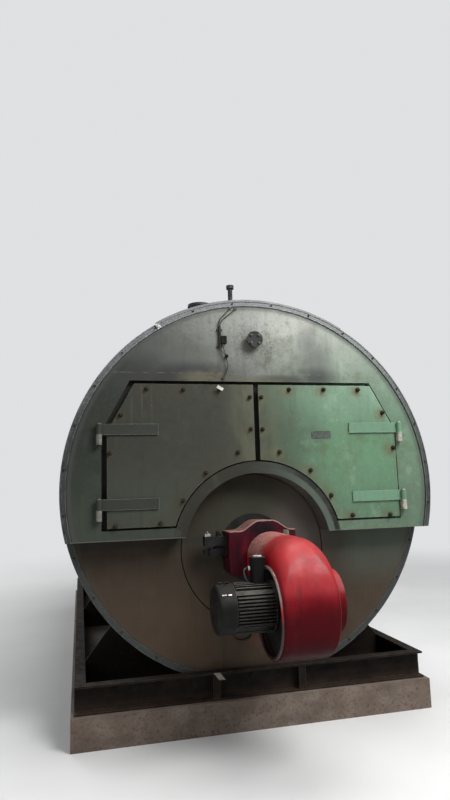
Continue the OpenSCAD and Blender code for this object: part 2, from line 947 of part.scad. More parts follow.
module motor_foot() {
    rod_r = 6;
    half = 44;
    along = 84;
    drop = 26;
    color("black") motor_at() translate([-motor_len + along, 0, -motor_r + fin_in - fit_gap]) {
        for (x = [-half, half]) translate([x, 0, -drop]) cylinder(r = rod_r, h = drop);
        translate([0, 0, -drop]) bar_x(rod_r, -half, half);
        for (x = [-half, half]) translate([x, 0, -drop]) sphere(r = rod_r);
    }
}

module terminal_box() {
    box = [75, 82, 124];
    round_r = 24;
    sink = 12;
    gland_r = 10;
    gland_len = 26;
    gland_up = 66;
    right = -44;
    color("black") motor_at() difference() {
        translate([right - box[0], -box[1] / 2, motor_r - sink]) {
            translate([round_r, 0, 0]) cube([box[0] - 2 * round_r, box[1], box[2] + sink]);
            translate([0, round_r, 0]) cube([box[0], box[1] - 2 * round_r, box[2] + sink]);
            for (x = [round_r, box[0] - round_r], y = [round_r, box[1] - round_r])
                translate([x, y, 0]) cylinder(r = round_r, h = box[2] + sink);
            translate([0, box[1] / 2, sink + gland_up]) bar_x(gland_r, -gland_len, 1);
        }
        bar_x(motor_r - fin_in + fit_gap, -big, big);
    }
}

plinth();
skid(-1);  // left_skid
skid(1);  // right_skid
front_crossbeam();
rear_crossbeam();
saddles();
boiler_shell();
cladding();
top_cladding_strip();
front_ring();
front_plate();
smokebox_wall();
door_frame();
tube_plate();
fire_tubes();
lower_front_plate();
furnace_disc();
door(-1);  // left_door
door(1);  // right_door
door_straps(-1);  // left_door_straps
door_straps(1);  // right_door_straps
hinges(-1);  // left_hinges
hinges(1);  // right_hinges
front_stub();
sensor_conduit();
sensor_box();
sensor_lead();
steam_outlet();
vent_pipe();
lifting_lugs();
rear_plate();
rear_hatch();
flue_outlet();
burner_flange();
burner_head();
burner_hinge();
fan_scroll();
fan_inlet();
motor_plate();
motor_body();
motor_cowl();
motor_foot();
terminal_box();
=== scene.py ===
"""Looks of a fire-tube boiler: finishes, bolts, burner casting details, cables and a plain stage."""

import json
import math

import bmesh
import bpy
from bpy.props import FloatProperty, FloatVectorProperty, IntProperty, PointerProperty
from mathutils import Matrix, Vector


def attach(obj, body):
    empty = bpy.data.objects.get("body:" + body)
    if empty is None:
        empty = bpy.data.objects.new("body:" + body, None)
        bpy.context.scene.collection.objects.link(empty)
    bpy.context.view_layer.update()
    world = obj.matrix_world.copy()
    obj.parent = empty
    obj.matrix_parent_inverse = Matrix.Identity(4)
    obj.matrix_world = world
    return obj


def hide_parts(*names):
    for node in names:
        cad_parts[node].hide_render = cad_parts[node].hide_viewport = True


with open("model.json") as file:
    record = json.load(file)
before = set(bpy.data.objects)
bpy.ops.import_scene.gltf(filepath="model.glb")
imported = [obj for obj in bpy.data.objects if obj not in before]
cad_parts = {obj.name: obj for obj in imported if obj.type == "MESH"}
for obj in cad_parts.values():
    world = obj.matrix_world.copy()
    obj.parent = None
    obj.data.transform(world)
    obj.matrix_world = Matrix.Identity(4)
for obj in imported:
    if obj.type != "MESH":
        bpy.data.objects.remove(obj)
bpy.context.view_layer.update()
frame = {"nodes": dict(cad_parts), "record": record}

bl_info = {
    "name": "Fire-Tube Boiler Looks",
    "version": (1, 0, 0),
    "blender": (4, 5, 0),
    "location": "View3D > Sidebar > Boiler",
    "description": "Finishes and small pieces of a horizontal boiler with a side-motor burner",
    "category": "Object",
}

# The smokebox front and the shell axis, in metres.
FRONT_Y = -2.3
AXIS_Z = 1.443
ROOT = "root"

# The rest is in millimetres, as place takes them.
BURNER_Z = -383.0
STUB_Z = 935.0
FAN = (-464.0, -624.0)
MOTOR_PLATE = (-476.0, -654.0)
# Door bolts: across and level.
LEFT_BOLTS = [
    (-689, 615), (-461, 612), (-231, 614), (-35, 566), (-846, 454), (-910, 225), (-36, 363), (-124, 219),
    (-331, 96), (-474, -67), (-614, -198), (-880, -205),
]
RIGHT_BOLTS = [
    (229, 617), (467, 618), (711, 619), (881, 466), (943, 231), (40, 566), (42, 361), (148, 215),
    (352, 95), (484, -67), (624, -198), (890, -205),
]


def place(x, y, z):
    """A point in millimetres from the shell axis and the smokebox front, in the part's frame."""
    return Vector((x / 1000, y / 1000 + FRONT_Y, z / 1000 + AXIS_Z))


# ---- properties


def length(name, description, default):
    return FloatProperty(name=name, description=description, default=default, unit="LENGTH")


def paint(name, description, default):
    return FloatVectorProperty(name=name, description=description, default=default, subtype="COLOR")


class BoilerSizes(bpy.types.PropertyGroup):
    """Sizes of the small pieces."""

    nut_across: length("Door nut", "Width across the flats of a door nut", 0.0215)
    washer_radius: length("Door washer", "Radius of the washer under a door nut", 0.0145)
    stud_length: length("Door stud", "How far a stud stands out of its nut", 0.009)
    sheet_screws: IntProperty(name="Rim screws", description="Screws round the rim", default=28, min=6, max=72)
    seed: IntProperty(name="Seed", description="Seed of the bolts' turns", default=7, min=0)


class BoilerColours(bpy.types.PropertyGroup):
    """Colours of the main finishes."""

    sage: paint("Sage paint", "Paint of the plate and doors", (0.09, 0.19, 0.108))
    pale: paint("Faded paint", "Faded paint near the top", (0.34, 0.35, 0.315))
    earth: paint("Dusty plate", "Dusty paint below the smokebox", (0.058, 0.038, 0.024))
    crimson: paint("Burner red", "Gloss paint of the burner", (0.36, 0.008, 0.014))
    dust: paint("Dust", "Dust that lies on upward faces", (0.27, 0.13, 0.108))
    steel: paint("Skid paint", "Dark paint of the skid", (0.007, 0.0055, 0.0045))


# ---- material tools


def rgb(tint):
    """A socket's colour from a tint, which is given in thousandths."""
    return (*[part / 1000 for part in tint], 1.0)


class Finish:
    """Builds one procedural material on object coordinates, one tint over the other."""

    def __init__(self, name, paints=None):
        self.paints = paints
        self.mat = bpy.data.materials.new(name)
        self.mat.use_nodes = True
        self.tree = self.mat.node_tree
        self.tree.nodes.clear()
        self.out = self.add("ShaderNodeOutputMaterial")
        self.shader = self.add("ShaderNodeBsdfPrincipled")
        self.join(self.shader.outputs["BSDF"], self.out.inputs["Surface"])
        self.coord = self.add("ShaderNodeTexCoord").outputs["Object"]
        self.colour = None
        self.normal = None
        self.right = None

    def add(self, kind, inputs=None, **settings):
        """Adds a node with its settings and feeds its inputs, by name or number."""
        node = self.tree.nodes.new(kind)
        for key, value in settings.items():
            setattr(node, key, value)
        for key, value in (inputs or {}).items():
            self.feed(node.inputs[key], value)
        return node

    def join(self, a, b):
        self.tree.links.new(a, b)

    def feed(self, socket, value):
        """Gives a socket a link, a tint, one of the panel's colours or a plain value."""
        if isinstance(value, bpy.types.NodeSocket):
            self.join(value, socket)
        elif socket.type == "RGBA":
            socket.default_value = rgb(value) if isinstance(value, tuple) else (*value, 1.0)
        else:
            socket.default_value = value

    def calc(self, operation, a, b=0.0, clamp=False):
        return self.add("ShaderNodeMath", {0: a, 1: b}, operation=operation, use_clamp=clamp).outputs[0]

    def times(self, a, b):
        return self.calc("MULTIPLY", a, b, clamp=True)

    def most(self, values):
        total = values[0]
        for value in values[1:]:
            total = self.calc("MAXIMUM", total, value)
        return total

    def fit(self, value, lo, hi, start=0.0, end=1.0):
        """A smooth step of a value between two limits."""
        inputs = {"Value": value, "From Min": lo, "From Max": hi, "To Min": start, "To Max": end}
        return self.add("ShaderNodeMapRange", inputs, interpolation_type="SMOOTHSTEP").outputs["Result"]

    def axis(self, name):
        return self.add("ShaderNodeSeparateXYZ", {0: self.coord}).outputs[name]

    def across(self, lo, hi, start=0.0, end=1.0):
        """A smooth step from left to right."""
        return self.fit(self.axis("X"), lo, hi, start, end)

    def level(self, lo, hi, start=0.0, end=1.0):
        """A smooth step of the height over the shell axis."""
        return self.fit(self.axis("Z"), AXIS_Z + lo, AXIS_Z + hi, start, end)

    def line(self, value, level, width, inner=0.0):
        """1 where a value is at a level, 0 beside it."""
        return self.fit(self.calc("ABSOLUTE", self.calc("SUBTRACT", value, level)), width, inner)

    def grain(self, scale, stretch=(1, 1, 1), detail=4.0, rough=0.6, shift=(0, 0, 0), warp=0.0):
        """Noise on stretched and shifted coordinates."""
        moved = self.add("ShaderNodeMapping", {"Vector": self.coord, "Location": shift, "Scale": stretch})
        inputs = {"Vector": moved.outputs["Vector"], "Scale": scale, "Detail": detail, "Roughness": rough,
                  "Distortion": warp}
        return self.add("ShaderNodeTexNoise", inputs).outputs["Fac"]

    def patch(self, scale, lo, hi, start=0.0, end=1.0, **noise):
        """Noise cut between two limits."""
        return self.fit(self.grain(scale, **noise), lo, hi, start, end)

    def uneven(self, scale, lo, hi, detail=3):
        """A roughness that wanders between two values."""
        return self.patch(scale, 0.3, 0.7, lo, hi, detail=detail)

    def cells(self, scale):
        return self.add("ShaderNodeTexVoronoi", {"Vector": self.coord, "Scale": scale}).outputs["Distance"]

    def facing_up(self, lo, hi, flat=False):
        """1 on faces that look up; flat leaves smooth shading out."""
        normal = self.add("ShaderNodeNewGeometry").outputs["True Normal" if flat else "Normal"]
        return self.fit(self.add("ShaderNodeSeparateXYZ", {0: normal}).outputs["Z"], lo, hi)

    def vector(self, operation, a, b, result="Vector"):
        return self.add("ShaderNodeVectorMath", {0: a, 1: b}, operation=operation).outputs[result]

    def length(self, a):
        return self.add("ShaderNodeVectorMath", {0: a}, operation="LENGTH").outputs["Value"]

    def spot(self, centre, size, edge=0.0):
        """1 in the middle of an ellipsoid, 0 outside it; centre and half sizes in millimetres."""
        away = self.vector("SUBTRACT", self.coord, place(*centre))
        return self.fit(self.length(self.vector("DIVIDE", away, [part / 1000 for part in size])), 1.0, edge)

    def spots(self, *ellipsoids):
        return self.most([self.spot(*ellipsoid) for ellipsoid in ellipsoids])

    def ring(self, z, radius, width, hard=0.0):
        """1 on a circle about an axis along Y at a level, 0 beside it."""
        away = self.vector("SUBTRACT", self.coord, place(0, 0, z))
        return self.line(self.length(self.vector("MULTIPLY", away, (1, 0, 1))), radius, width, width * hard)

    def worn(self, radius):
        """1 near the corners of the piece, 0 on its flats."""
        bevel = self.add("ShaderNodeBevel", {"Radius": radius}, samples=4).outputs["Normal"]
        normal = self.add("ShaderNodeNewGeometry").outputs["Normal"]
        return self.fit(self.vector("DOT_PRODUCT", bevel, normal, "Value"), 0.985, 0.86)

    def blend(self, amount, a, b):
        node = self.add("ShaderNodeMix", data_type="RGBA")
        for key, value in (("Factor", amount), (6, a), (7, b)):
            self.feed(node.inputs[key], value)
        return node.outputs[2]

    def pair(self, left, right):
        """A tint that changes from the left side of the boiler to the right; the darker left tint is painted
        shade, as the light falls from the right.
        """
        if self.right is None:
            self.right = self.across(-0.1, 0.62)
        return self.blend(self.right, left, right)

    def clouds(self, scale, a, b, lo=0.35, hi=0.7, **noise):
        """Starts the colour as a soft mix of two tints."""
        self.colour = self.blend(self.patch(scale, lo, hi, **noise), a, b)

    def over(self, tint, mask, *factors):
        """Lays a tint over the colour so far, as strongly as the product of the masks and amounts."""
        for factor in factors:
            mask = self.calc("MULTIPLY", mask, factor, clamp=isinstance(factor, bpy.types.NodeSocket))
        self.colour = self.blend(mask, self.colour, tint)

    def scrape(self, tint, amount, radius, broken):
        """Wears the corners down to a tint."""
        self.over(tint, self.worn(radius), broken, amount)

    def relief(self, height, strength, distance):
        """Adds a bump to those so far."""
        inputs = {"Strength": strength, "Distance": distance, "Height": height}
        if self.normal is not None:
            inputs["Normal"] = self.normal
        self.normal = self.add("ShaderNodeBump", inputs).outputs["Normal"]
        self.join(self.normal, self.shader.inputs["Normal"])

    def bumps(self, scale, strength, distance, detail=3, **noise):
        self.relief(self.grain(scale, detail=detail, **noise), strength, distance)

    def old_paint(self):
        """Orange peel and shallow dents of old paint on plate."""
        self.bumps(900, 0.1, 0.0004, detail=2)
        self.bumps(6, 0.14, 0.005)

    def done(self, rough, metal=0.0, shine=0.5):
        """Feeds the shader."""
        values = {"Base Color": self.colour, "Roughness": rough, "Metallic": metal, "Specular IOR Level": shine}
        for name, value in values.items():
            self.feed(self.shader.inputs[name], value)


# ---- finishes

# Tints are in thousandths, sizes of spots in millimetres, and all other lengths in metres.


def weathered(f, dark, amount):
    """Old paint: broad clouds, blotches, vertical runs and specks of dirt."""
    f.over(dark, f.patch(1.6, 0.32, 0.72, detail=5, warp=0.4), amount)
    f.over(dark, f.patch(9, 0.5, 0.78, stretch=(3.0, 3.0, 0.22)), 0.4)
    f.over(dark, f.patch(22, 0.54, 0.72, detail=6, rough=0.7), 0.34)
    f.over((40, 34, 26), f.patch(170, 0.63, 0.74, detail=2), 0.5)


def rust_runs(f, points, rust):
    """Brown rust stains below and to the left of fasteners, which also paint each bolt's shadow, and a dark halo
    of painted shade round each.
    """
    rust_and_shadow_stains = f.spots(*[((x - 16, 0, z - 10), (78, 400, 68), 0.1) for x, z in points])
    painted_nut_shade = f.spots(*[((x, 0, z), (26, 400, 26), 0.3) for x, z in points])
    f.over(rust, rust_and_shadow_stains, f.patch(60, 0.25, 0.6, 0.3, stretch=(1, 1, 0.5), detail=3), 0.8)
    f.over((50, 50, 34), painted_nut_shade, 0.5)


def front_soot(f):
    """Smoke over the doors, thickest just above the top gap."""
    broken = f.patch(5, 0.2, 0.72, 0.62, stretch=(1, 1, 0.45), detail=5)
    thick = f.spots(((-450, 0, 695), (460, 500, 130), 0.3), ((-720, 0, 720), (260, 500, 170)),
                    ((425, 0, 694), (230, 500, 105)), ((230, 0, 680), (340, 500, 55)))
    thin = f.spots(((-560, 0, 790), (420, 500, 320), 0.1), ((425, 0, 800), (190, 500, 300)),
                   ((385, 0, 930), (130, 500, 200)))
    f.over((70, 74, 67), thin, broken, 0.72)
    f.over((15, 15, 16), thick, broken, 0.96)


def front_marks(f):
    """Marks of the fixed front: soot, stain, lap seam, arch strip darkened as painted shade, a painted shadow
    along the door's edge, a darker band along the rim, dirt round the stub with the stub's painted shadow, hem.
    """
    front_soot(f)
    stain = f.spots(((-300, 0, 684), (260, 500, 85), 0.3), ((60, 0, 672), (300, 500, 45)))
    f.over((98, 92, 52), stain, f.patch(9, 0.32, 0.56), 0.66)
    seam = f.line(f.axis("Z"), AXIS_Z + 0.717, 0.006)
    f.over((300, 310, 270), seam, f.patch(26, 0.4, 0.64, detail=5), 0.15)
    strip = f.ring(BURNER_Z, 0.506, 0.042, 0.82)
    # The arch strip is darkened as painted shade, most on the left.
    f.over(f.blend(f.across(-0.1, 0.42), (20, 19, 13), (62, 82, 64)), strip, 0.94)
    shade = f.times(f.ring(BURNER_Z, 0.529, 0.024, 0.45), f.across(0.04, 0.34))
    f.over((12, 11, 10), shade, 0.97)
    f.over((110, 105, 80), strip, f.patch(9, 0.5, 0.72, detail=5), 0.22)
    f.over((50, 52, 48), f.ring(0, 1.15, 0.026), 0.55)
    flecks = f.times(f.spot((15, 0, 915), (220, 500, 200), 0.35), f.patch(95, 0.6, 0.64, detail=3))
    f.over((26, 24, 18), flecks, 0.9)
    f.over((110, 98, 78), f.ring(STUB_Z, 0.04, 0.06), f.patch(60, 0.38, 0.6, 0.15, 0.8))
    # Painted shadow of the stub, to its lower left.
    f.over((100, 98, 86), f.spot((-30, 0, 890), (75, 500, 95)), 0.55)
    hem = f.times(f.line(f.axis("Z"), AXIS_Z - 0.287, 0.004, 0.001), f.patch(9, 0.3, 0.55, 0.3, detail=3))
    f.over((110, 100, 82), hem, 0.55)
    f.over((98, 92, 78), f.fit(f.axis("Y"), FRONT_Y + 0.0095, FRONT_Y + 0.012), 0.85)


def door_marks(f, side):
    """Marks of a door: rust with the bolts' painted shadows, drips, grime at the middle and round the arch, and
    its lining behind.
    """
    points, rust = (RIGHT_BOLTS, (98, 88, 46)) if side > 0 else (LEFT_BOLTS, (40, 32, 20))
    rust_runs(f, points, rust)
    drips = f.patch(13, 0.56, 0.74, stretch=(2.4, 2.4, 0.12), detail=3, shift=(3, 0, 1))
    f.over((85, 80, 44), drips, f.level(0.15, 0.64), 0.42)
    middle = f.fit(f.calc("ABSOLUTE", f.axis("X")), 0.26, 0.03)
    grime = f.patch(7, 0.34, 0.62, 0.3, stretch=(1.4, 1, 0.6), detail=5)
    f.over((98, 104, 62), middle, grime, 0.55)
    near_arch = f.times(f.ring(BURNER_Z, 0.56, 0.1), f.patch(8, 0.35, 0.65))
    f.over(f.pair((36, 34, 22), (90, 92, 56)), near_arch, 0.5)
    lining = f.blend(f.patch(6, 0.35, 0.66, detail=6), (210, 190, 160), (50, 44, 38))
    f.over(lining, f.fit(f.axis("Y"), FRONT_Y + 0.009, FRONT_Y + 0.014))


def plate_paint(f, side=0):
    """Green paint of the smokebox front (0), of the left door (-1) or of the right door (1); its tints are darker
    on the left and lower down as painted shade, and the right door is lighter near its top as painted light.
    """
    if side:
        f.colour = f.pair((28, 29, 21), f.paints.sage)
        # Painted light on the upper right of the door.
        f.over((190, 310, 215), f.level(0.3, 0.64), f.right)
    else:
        # The pale top darkens towards the left as painted shade.
        pale = f.blend(f.across(-0.95, 0.25), (52, 53, 53), f.paints.pale)
        pale = f.blend(f.across(0.42, 0.92, 0.0, 0.75), pale, (125, 165, 125))
        f.colour = f.pair((13, 19, 14), (100, 165, 110))
        slanted = f.calc("ADD", f.axis("Z"), f.calc("MULTIPLY", f.axis("X"), 0.05))
        f.over(pale, f.fit(slanted, AXIS_Z + 0.42, AXIS_Z + 1.04), 0.96)
    # Painted shade towards the bottom.
    f.over((70, 88, 62), f.level(0.3, -0.25), 0.35)
    weathered(f, f.pair((20, 21, 16), (60, 92, 60)), 0.5)
    patina = f.times(f.patch(5, 0.48, 0.66, detail=6, rough=0.65, shift=(7, 2, 3)),
                     f.patch(17, 0.35, 0.62, detail=5, shift=(1, 5, 2)))
    f.over(f.pair((36, 32, 18), (80, 96, 48)), patina, 0.5)
    light = f.patch(8, 0.55, 0.72, detail=6, shift=(2, 8, 6))
    f.over(f.pair((48, 54, 42), (230, 330, 250)), light, 0.28)
    mottle = f.grain(36, detail=5, rough=0.75, shift=(3, 4, 9))
    f.over(f.pair((50, 45, 30), (120, 150, 85)), f.fit(mottle, 0.52, 0.66, 0.0, 0.3))
    f.over(f.pair((36, 44, 38), (150, 270, 190)), f.fit(mottle, 0.48, 0.34, 0.0, 0.28))
    if side:
        door_marks(f, side)
    else:
        front_marks(f)
    chips = f.times(f.patch(75, 0.66, 0.7, detail=3), f.patch(4, 0.5, 0.7, detail=2))
    f.over(f.pair((120, 120, 100), (320, 360, 300)), chips, 0.6)
    if side:
        f.scrape(f.pair((160, 158, 130), (360, 430, 350)), 0.55, 0.005,
                 f.patch(30, 0.3, 0.6, 0.2, detail=3))
    f.old_paint()
    f.done(f.uneven(12, 0.44, 0.74, detail=4), shine=0.25)


def strap_paint(f):
    """Strap paint: the doors' green, darker on the left as painted shade, with pale, scraped edges."""
    f.colour = f.pair((26, 29, 22), (112, 215, 136))
    weathered(f, f.pair((22, 24, 18), (70, 110, 72)), 0.4)
    f.scrape(f.pair((300, 300, 250), (420, 480, 400)), 0.9, 0.0035,
             f.patch(18, 0.28, 0.55, 0.45, detail=3))
    f.old_paint()
    f.done(f.uneven(12, 0.4, 0.66, detail=4), shine=0.25)


def frame_paint(f):
    """Door frame inside the gaps: dark on the left as painted shade, light green on the right as painted light."""
    f.colour = f.blend(f.across(0.05, 0.8), (30, 28, 23), (180, 260, 190))
    f.over((40, 34, 26), f.patch(30, 0.45, 0.7), 0.5)
    f.bumps(300, 0.25, 0.0006)
    f.done(0.85, shine=0.15)


def dusty_paint(f):
    """Dusty lower plate: taupe, greener and darker round the burner, with a lighter patch right of it as painted
    light, runs, scratches, a red haze that is a painted reflection of the scroll, and painted shade under the
    smokebox's ledge on the left.
    """
    f.colour = f.blend(f.level(-0.25, -1.15), (34, 26, 18), f.paints.earth)
    weathered(f, (22, 16, 11), 0.45)
    f.over((68, 48, 34), f.patch(3.2, 0.46, 0.68, stretch=(1, 1, 0.6), detail=5), 0.3)
    f.over((44, 48, 34), f.spot((60, 0, -250), (620, 2000, 420), 0.3), 0.7)
    # Painted light right of the burner.
    f.over((92, 78, 68), f.spot((330, 0, -260), (340, 2000, 420), 0.2), 0.75)
    f.over((72, 88, 70), f.across(0.45, 0.75), f.level(-0.75, -0.35), 0.8)
    f.over((56, 45, 34), f.patch(14, 0.56, 0.75, stretch=(3, 3, 0.1), detail=3, shift=(1, 0, 4)), 0.3)
    # Painted reflection of the red scroll, below the burner.
    red_reflection = f.times(f.spot((0, 160, -945), (85, 200, 75)), f.patch(30, 0.25, 0.6))
    f.over((110, 30, 26), red_reflection, 0.55)
    scratch = f.patch(40, 0.7, 0.74, stretch=(0.25, 1, 2.2), detail=3, shift=(2, 0, 5))
    f.over((85, 70, 56), scratch, 0.35)
    # Painted shade under the smokebox's ledge, on the left.
    under = f.times(f.line(f.axis("Z"), AXIS_Z - 0.325, 0.045), f.across(0.0, -0.45))
    f.over((22, 20, 17), under, 0.6)
    f.over((50, 38, 30), f.ring(0, 1.15, 0.03), 0.4)
    f.old_paint()
    f.done(f.uneven(9, 0.6, 0.85, detail=4), shine=0.15)


def rim_sheet(f):
    """Rim and top sheet: grey sheet with a flaky film, with painted shade on the lower left and painted light at
    the top and on the right.
    """
    f.colour = f.blend(f.level(0.3, 1.15), (28, 31, 28), (120, 122, 128))
    # Painted light on the right, lighter and greener.
    f.over((90, 118, 95), f.across(0.1, 0.55), f.level(-0.2, 0.5), 0.45)
    weathered(f, (26, 28, 27), 0.4)
    # The flakes and crust are lighter near the top as painted light.
    lit_top = f.level(0.2, 1.0)
    flakes = f.fit(f.cells(95), 0.22, 0.62)
    f.over(f.blend(lit_top, (45, 50, 46), (260, 265, 270)), flakes, 0.32)
    crust = f.grain(85, detail=6, rough=0.8, shift=(4, 6, 2))
    bright = f.blend(lit_top, (90, 95, 90), (330, 335, 340))
    f.over(bright, f.fit(crust, 0.53, 0.62, 0.0, 0.55))
    f.over((36, 37, 38), f.fit(crust, 0.47, 0.38, 0.0, 0.6))
    f.over((45, 45, 44), f.patch(210, 0.56, 0.66, detail=3), 0.55)
    f.scrape((300, 310, 300), 0.55, 0.005, f.patch(16, 0.35, 0.6, 0.1, detail=3))
    f.relief(flakes, 0.12, 0.0012)
    f.old_paint()
    f.done(f.fit(flakes, 0.0, 1.0, 0.42, 0.64), metal=0.2, shine=0.3)


def shell_sheet(f):
    """Cladding sheets with lap seams, drawn round the shell and along both sides."""
    sheet, first_seam = 1.05, 10.35
    f.colour = (150, 165, 150)
    weathered(f, (75, 80, 72), 0.5)
    sheets = f.calc("DIVIDE", f.calc("ADD", f.axis("Y"), first_seam), sheet)
    off = f.calc("ABSOLUTE", f.calc("SUBTRACT", f.calc("FRACT", sheets), 0.5))
    seam = f.fit(off, 0.006, 0.0)
    f.over((35, 36, 34), seam, 0.8)
    lines = f.most([f.line(f.axis("Z"), AXIS_Z + z, 0.0035) for z in (-0.62, 0.62)])
    f.over((40, 42, 38), lines, 0.7)
    f.over((75, 60, 42), f.patch(7, 0.52, 0.74, stretch=(1, 3.5, 0.15), shift=(2, 1, 0)), 0.45)
    f.over((190, 172, 145), f.facing_up(0.2, 0.95), f.patch(3.5, 0.3, 0.65, detail=5), 0.6)
    f.relief(f.fit(off, 0.03, 0.026), 0.8, 0.002)
    f.relief(f.calc("MULTIPLY", f.calc("MAXIMUM", seam, lines), -1.0), 0.6, 0.003)
    f.old_paint()
    f.done(f.uneven(9, 0.45, 0.7, detail=4), metal=0.2)


def burner_red(f, dull=False):
    """Gloss red casting: dust on the neck, dark runs and painted shade that darkens it towards the foot; the
    head's version is duller, with patches of painted shadow.
    """
    ragged = f.calc("ADD", f.axis("Z"), f.calc("MULTIPLY", f.grain(6, shift=(3, 3, 3)), 0.12))
    # Mask of the lower part, where painted shade darkens the red.
    shade_below = f.fit(ragged, AXIS_Z - 0.33, AXIS_Z - 0.6)
    f.colour = (46, 4, 8) if dull else f.paints.crimson
    f.over((26, 6, 10) if dull else (150, 8, 12), f.patch(6, 0.35, 0.7), 0.5)
    streak = f.patch(12, 0.5, 0.66, stretch=(2.4, 1, 0.25), shift=(1, 2, 0))
    f.over((22, 10, 14), streak, f.fit(shade_below, 0.0, 1.0, 0.16, 0.55))
    lines = f.patch(30, 0.5, 0.64, stretch=(3.2, 1, 0.12), detail=3, shift=(5, 1, 0))
    f.over((30, 8, 14), lines, 0.3 if dull else 0.08)
    if dull:
        # Painted shadow on the head: on its crown, beside the neck and low down.
        black = f.spots(((2, -60, -250), (110, 50, 60), 0.4), ((-150, -60, -400), (30, 50, 110), 0.2),
                        ((-60, -60, -560), (160, 50, 50), 0.2))
        f.over((7, 6, 8), black, f.patch(30, 0.25, 0.5, 0.55), 0.92)
        warm = f.spots(((-110, -60, -400), (60, 50, 150), 0.2), ((112, -60, -288), (60, 50, 30), 0.4))
        f.over((130, 7, 15), warm, f.patch(24, 0.36, 0.6, 0.25, stretch=(2, 1, 0.5)), 0.55)
    else:
        # Painted shade on the lower part, darkest at the foot.
        f.over((44, 4, 6), shade_below, 0.93)
        f.over((16, 5, 7), f.level(-0.72, -0.88, 0.0, 0.75))
        f.over((110, 50, 42), f.patch(10, 0.48, 0.7, stretch=(1, 1, 0.35), detail=5), 0.12)
    fade = f.calc("ADD", f.axis("Y"), f.calc("MULTIPLY", f.grain(14, detail=5, shift=(4, 1, 2)), 0.12))
    behind = f.times(f.fit(fade, FRONT_Y - 0.34, FRONT_Y - 0.2), f.level(-0.47, -0.36))
    neck = f.times(behind, f.facing_up(0.02, 0.3, dull))
    lies = f.most([neck, f.calc("MULTIPLY", f.facing_up(0.25, 0.9, dull), 0.1 if dull else 0.2)])
    settled = f.times(lies, f.patch(34, 0.3, 0.58, 0.35, detail=7, rough=0.75))
    f.over(f.paints.dust, settled, 0.92)
    f.over((360, 235, 200), neck, f.patch(52, 0.48, 0.62, detail=5), 0.6)
    f.over((70, 36, 32), f.patch(260, 0.58, 0.72, detail=2), 0.35)
    f.bumps(420, 0.25, 0.0006)
    f.bumps(18, 0.2, 0.003)
    rough = f.calc("ADD", f.uneven(14, 0.3, 0.48), f.calc("MULTIPLY", settled, 0.45), clamp=True)
    f.done(rough, shine=0.05 if dull else f.fit(shade_below, 0.0, 1.0, 0.2, 0.02))


def lip_metal(f):
    """Lip round the motor plate: bright metal on top as a painted highlight, painted red below that darkens
    downwards as painted shade.
    """
    # Painted highlight along the top of the lip.
    lip_highlight = f.times(f.level(-0.62, -0.53), f.patch(30, 0.25, 0.5, 0.35))
    # Painted shade darkens the red lower down.
    below = f.blend(f.level(-0.6, -0.7), f.paints.crimson, (20, 7, 8))
    f.colour = f.blend(lip_highlight, below, (480, 360, 330))
    f.over((60, 30, 26), f.patch(180, 0.55, 0.7, detail=3), 0.5)
    f.bumps(300, 0.2, 0.0005)
    f.done(f.uneven(40, 0.32, 0.55), metal=f.calc("MULTIPLY", lip_highlight, 0.6))


def motor_black(f, dust_tint=(34, 30, 25), lying=0.62):
    """Motor paint: near black, dusty above, worn to grey on its corners."""
    f.clouds(9, (4, 4, 4), (6, 6, 5))
    dust = f.times(f.facing_up(0.15, 0.95), f.patch(40, 0.25, 0.65, 0.35, detail=5))
    f.over(dust_tint, dust, lying)
    f.over((9, 8, 7), f.patch(13, 0.46, 0.68, detail=5), 0.35)
    f.scrape((170, 155, 138), 0.85, 0.0024, f.patch(40, 0.3, 0.52, 0.35, detail=3))
    f.bumps(520, 0.3, 0.0005)
    f.done(f.calc("ADD", f.uneven(20, 0.36, 0.52), f.calc("MULTIPLY", dust, 0.35), clamp=True), shine=0.12)


def black_paint(f, tint=(6, 6, 6), shine=0.2):
    """Dark paint with dust on its ledges and lighter corners."""
    f.clouds(14, tint, (15, 14, 13))
    f.over((55, 48, 40), f.facing_up(0.2, 0.9), f.patch(30, 0.3, 0.65, detail=5), 0.45)
    f.scrape((80, 78, 70), 0.5, 0.003, f.patch(60, 0.4, 0.6, detail=3))
    f.bumps(600, 0.2, 0.0004, detail=2)
    f.done(f.uneven(18, 0.48, 0.72), shine=shine)


def skid_paint(f):
    """Skid steel: dark web, rusty patches, dirt near the floor, dust on every ledge."""
    f.clouds(8, f.paints.steel, (12, 8, 6), detail=5)
    f.over((26, 13, 8), f.patch(17, 0.54, 0.7, detail=6, rough=0.72), 0.6)
    f.over((36, 22, 14), f.fit(f.axis("Z"), 0.235, 0.19), f.patch(10, 0.3, 0.6, 0.3), 0.7)
    f.over((30, 23, 18), f.facing_up(0.3, 0.95), f.patch(12, 0.22, 0.62, 0.45, detail=5), 0.4)
    f.scrape((120, 95, 78), 0.55, 0.004, f.patch(20, 0.35, 0.6, 0.2, detail=3))
    f.bumps(300, 0.3, 0.0008, detail=4)
    f.bumps(16, 0.2, 0.003)
    f.done(f.uneven(18, 0.62, 0.88), shine=0.12)


def hinge_paint(f):
    """Light paint of the hinges, darker on the left as painted shade, with rust specks."""
    side = f.across(-0.3, 0.5)
    bright = f.blend(side, (150, 150, 125), (430, 400, 330))
    f.clouds(28, bright, f.blend(side, (70, 74, 60), (230, 240, 190)), hi=0.68)
    f.over((60, 42, 26), f.patch(70, 0.56, 0.68, detail=5), 0.7)
    f.bumps(500, 0.25, 0.0005)
    f.done(f.uneven(30, 0.4, 0.65))


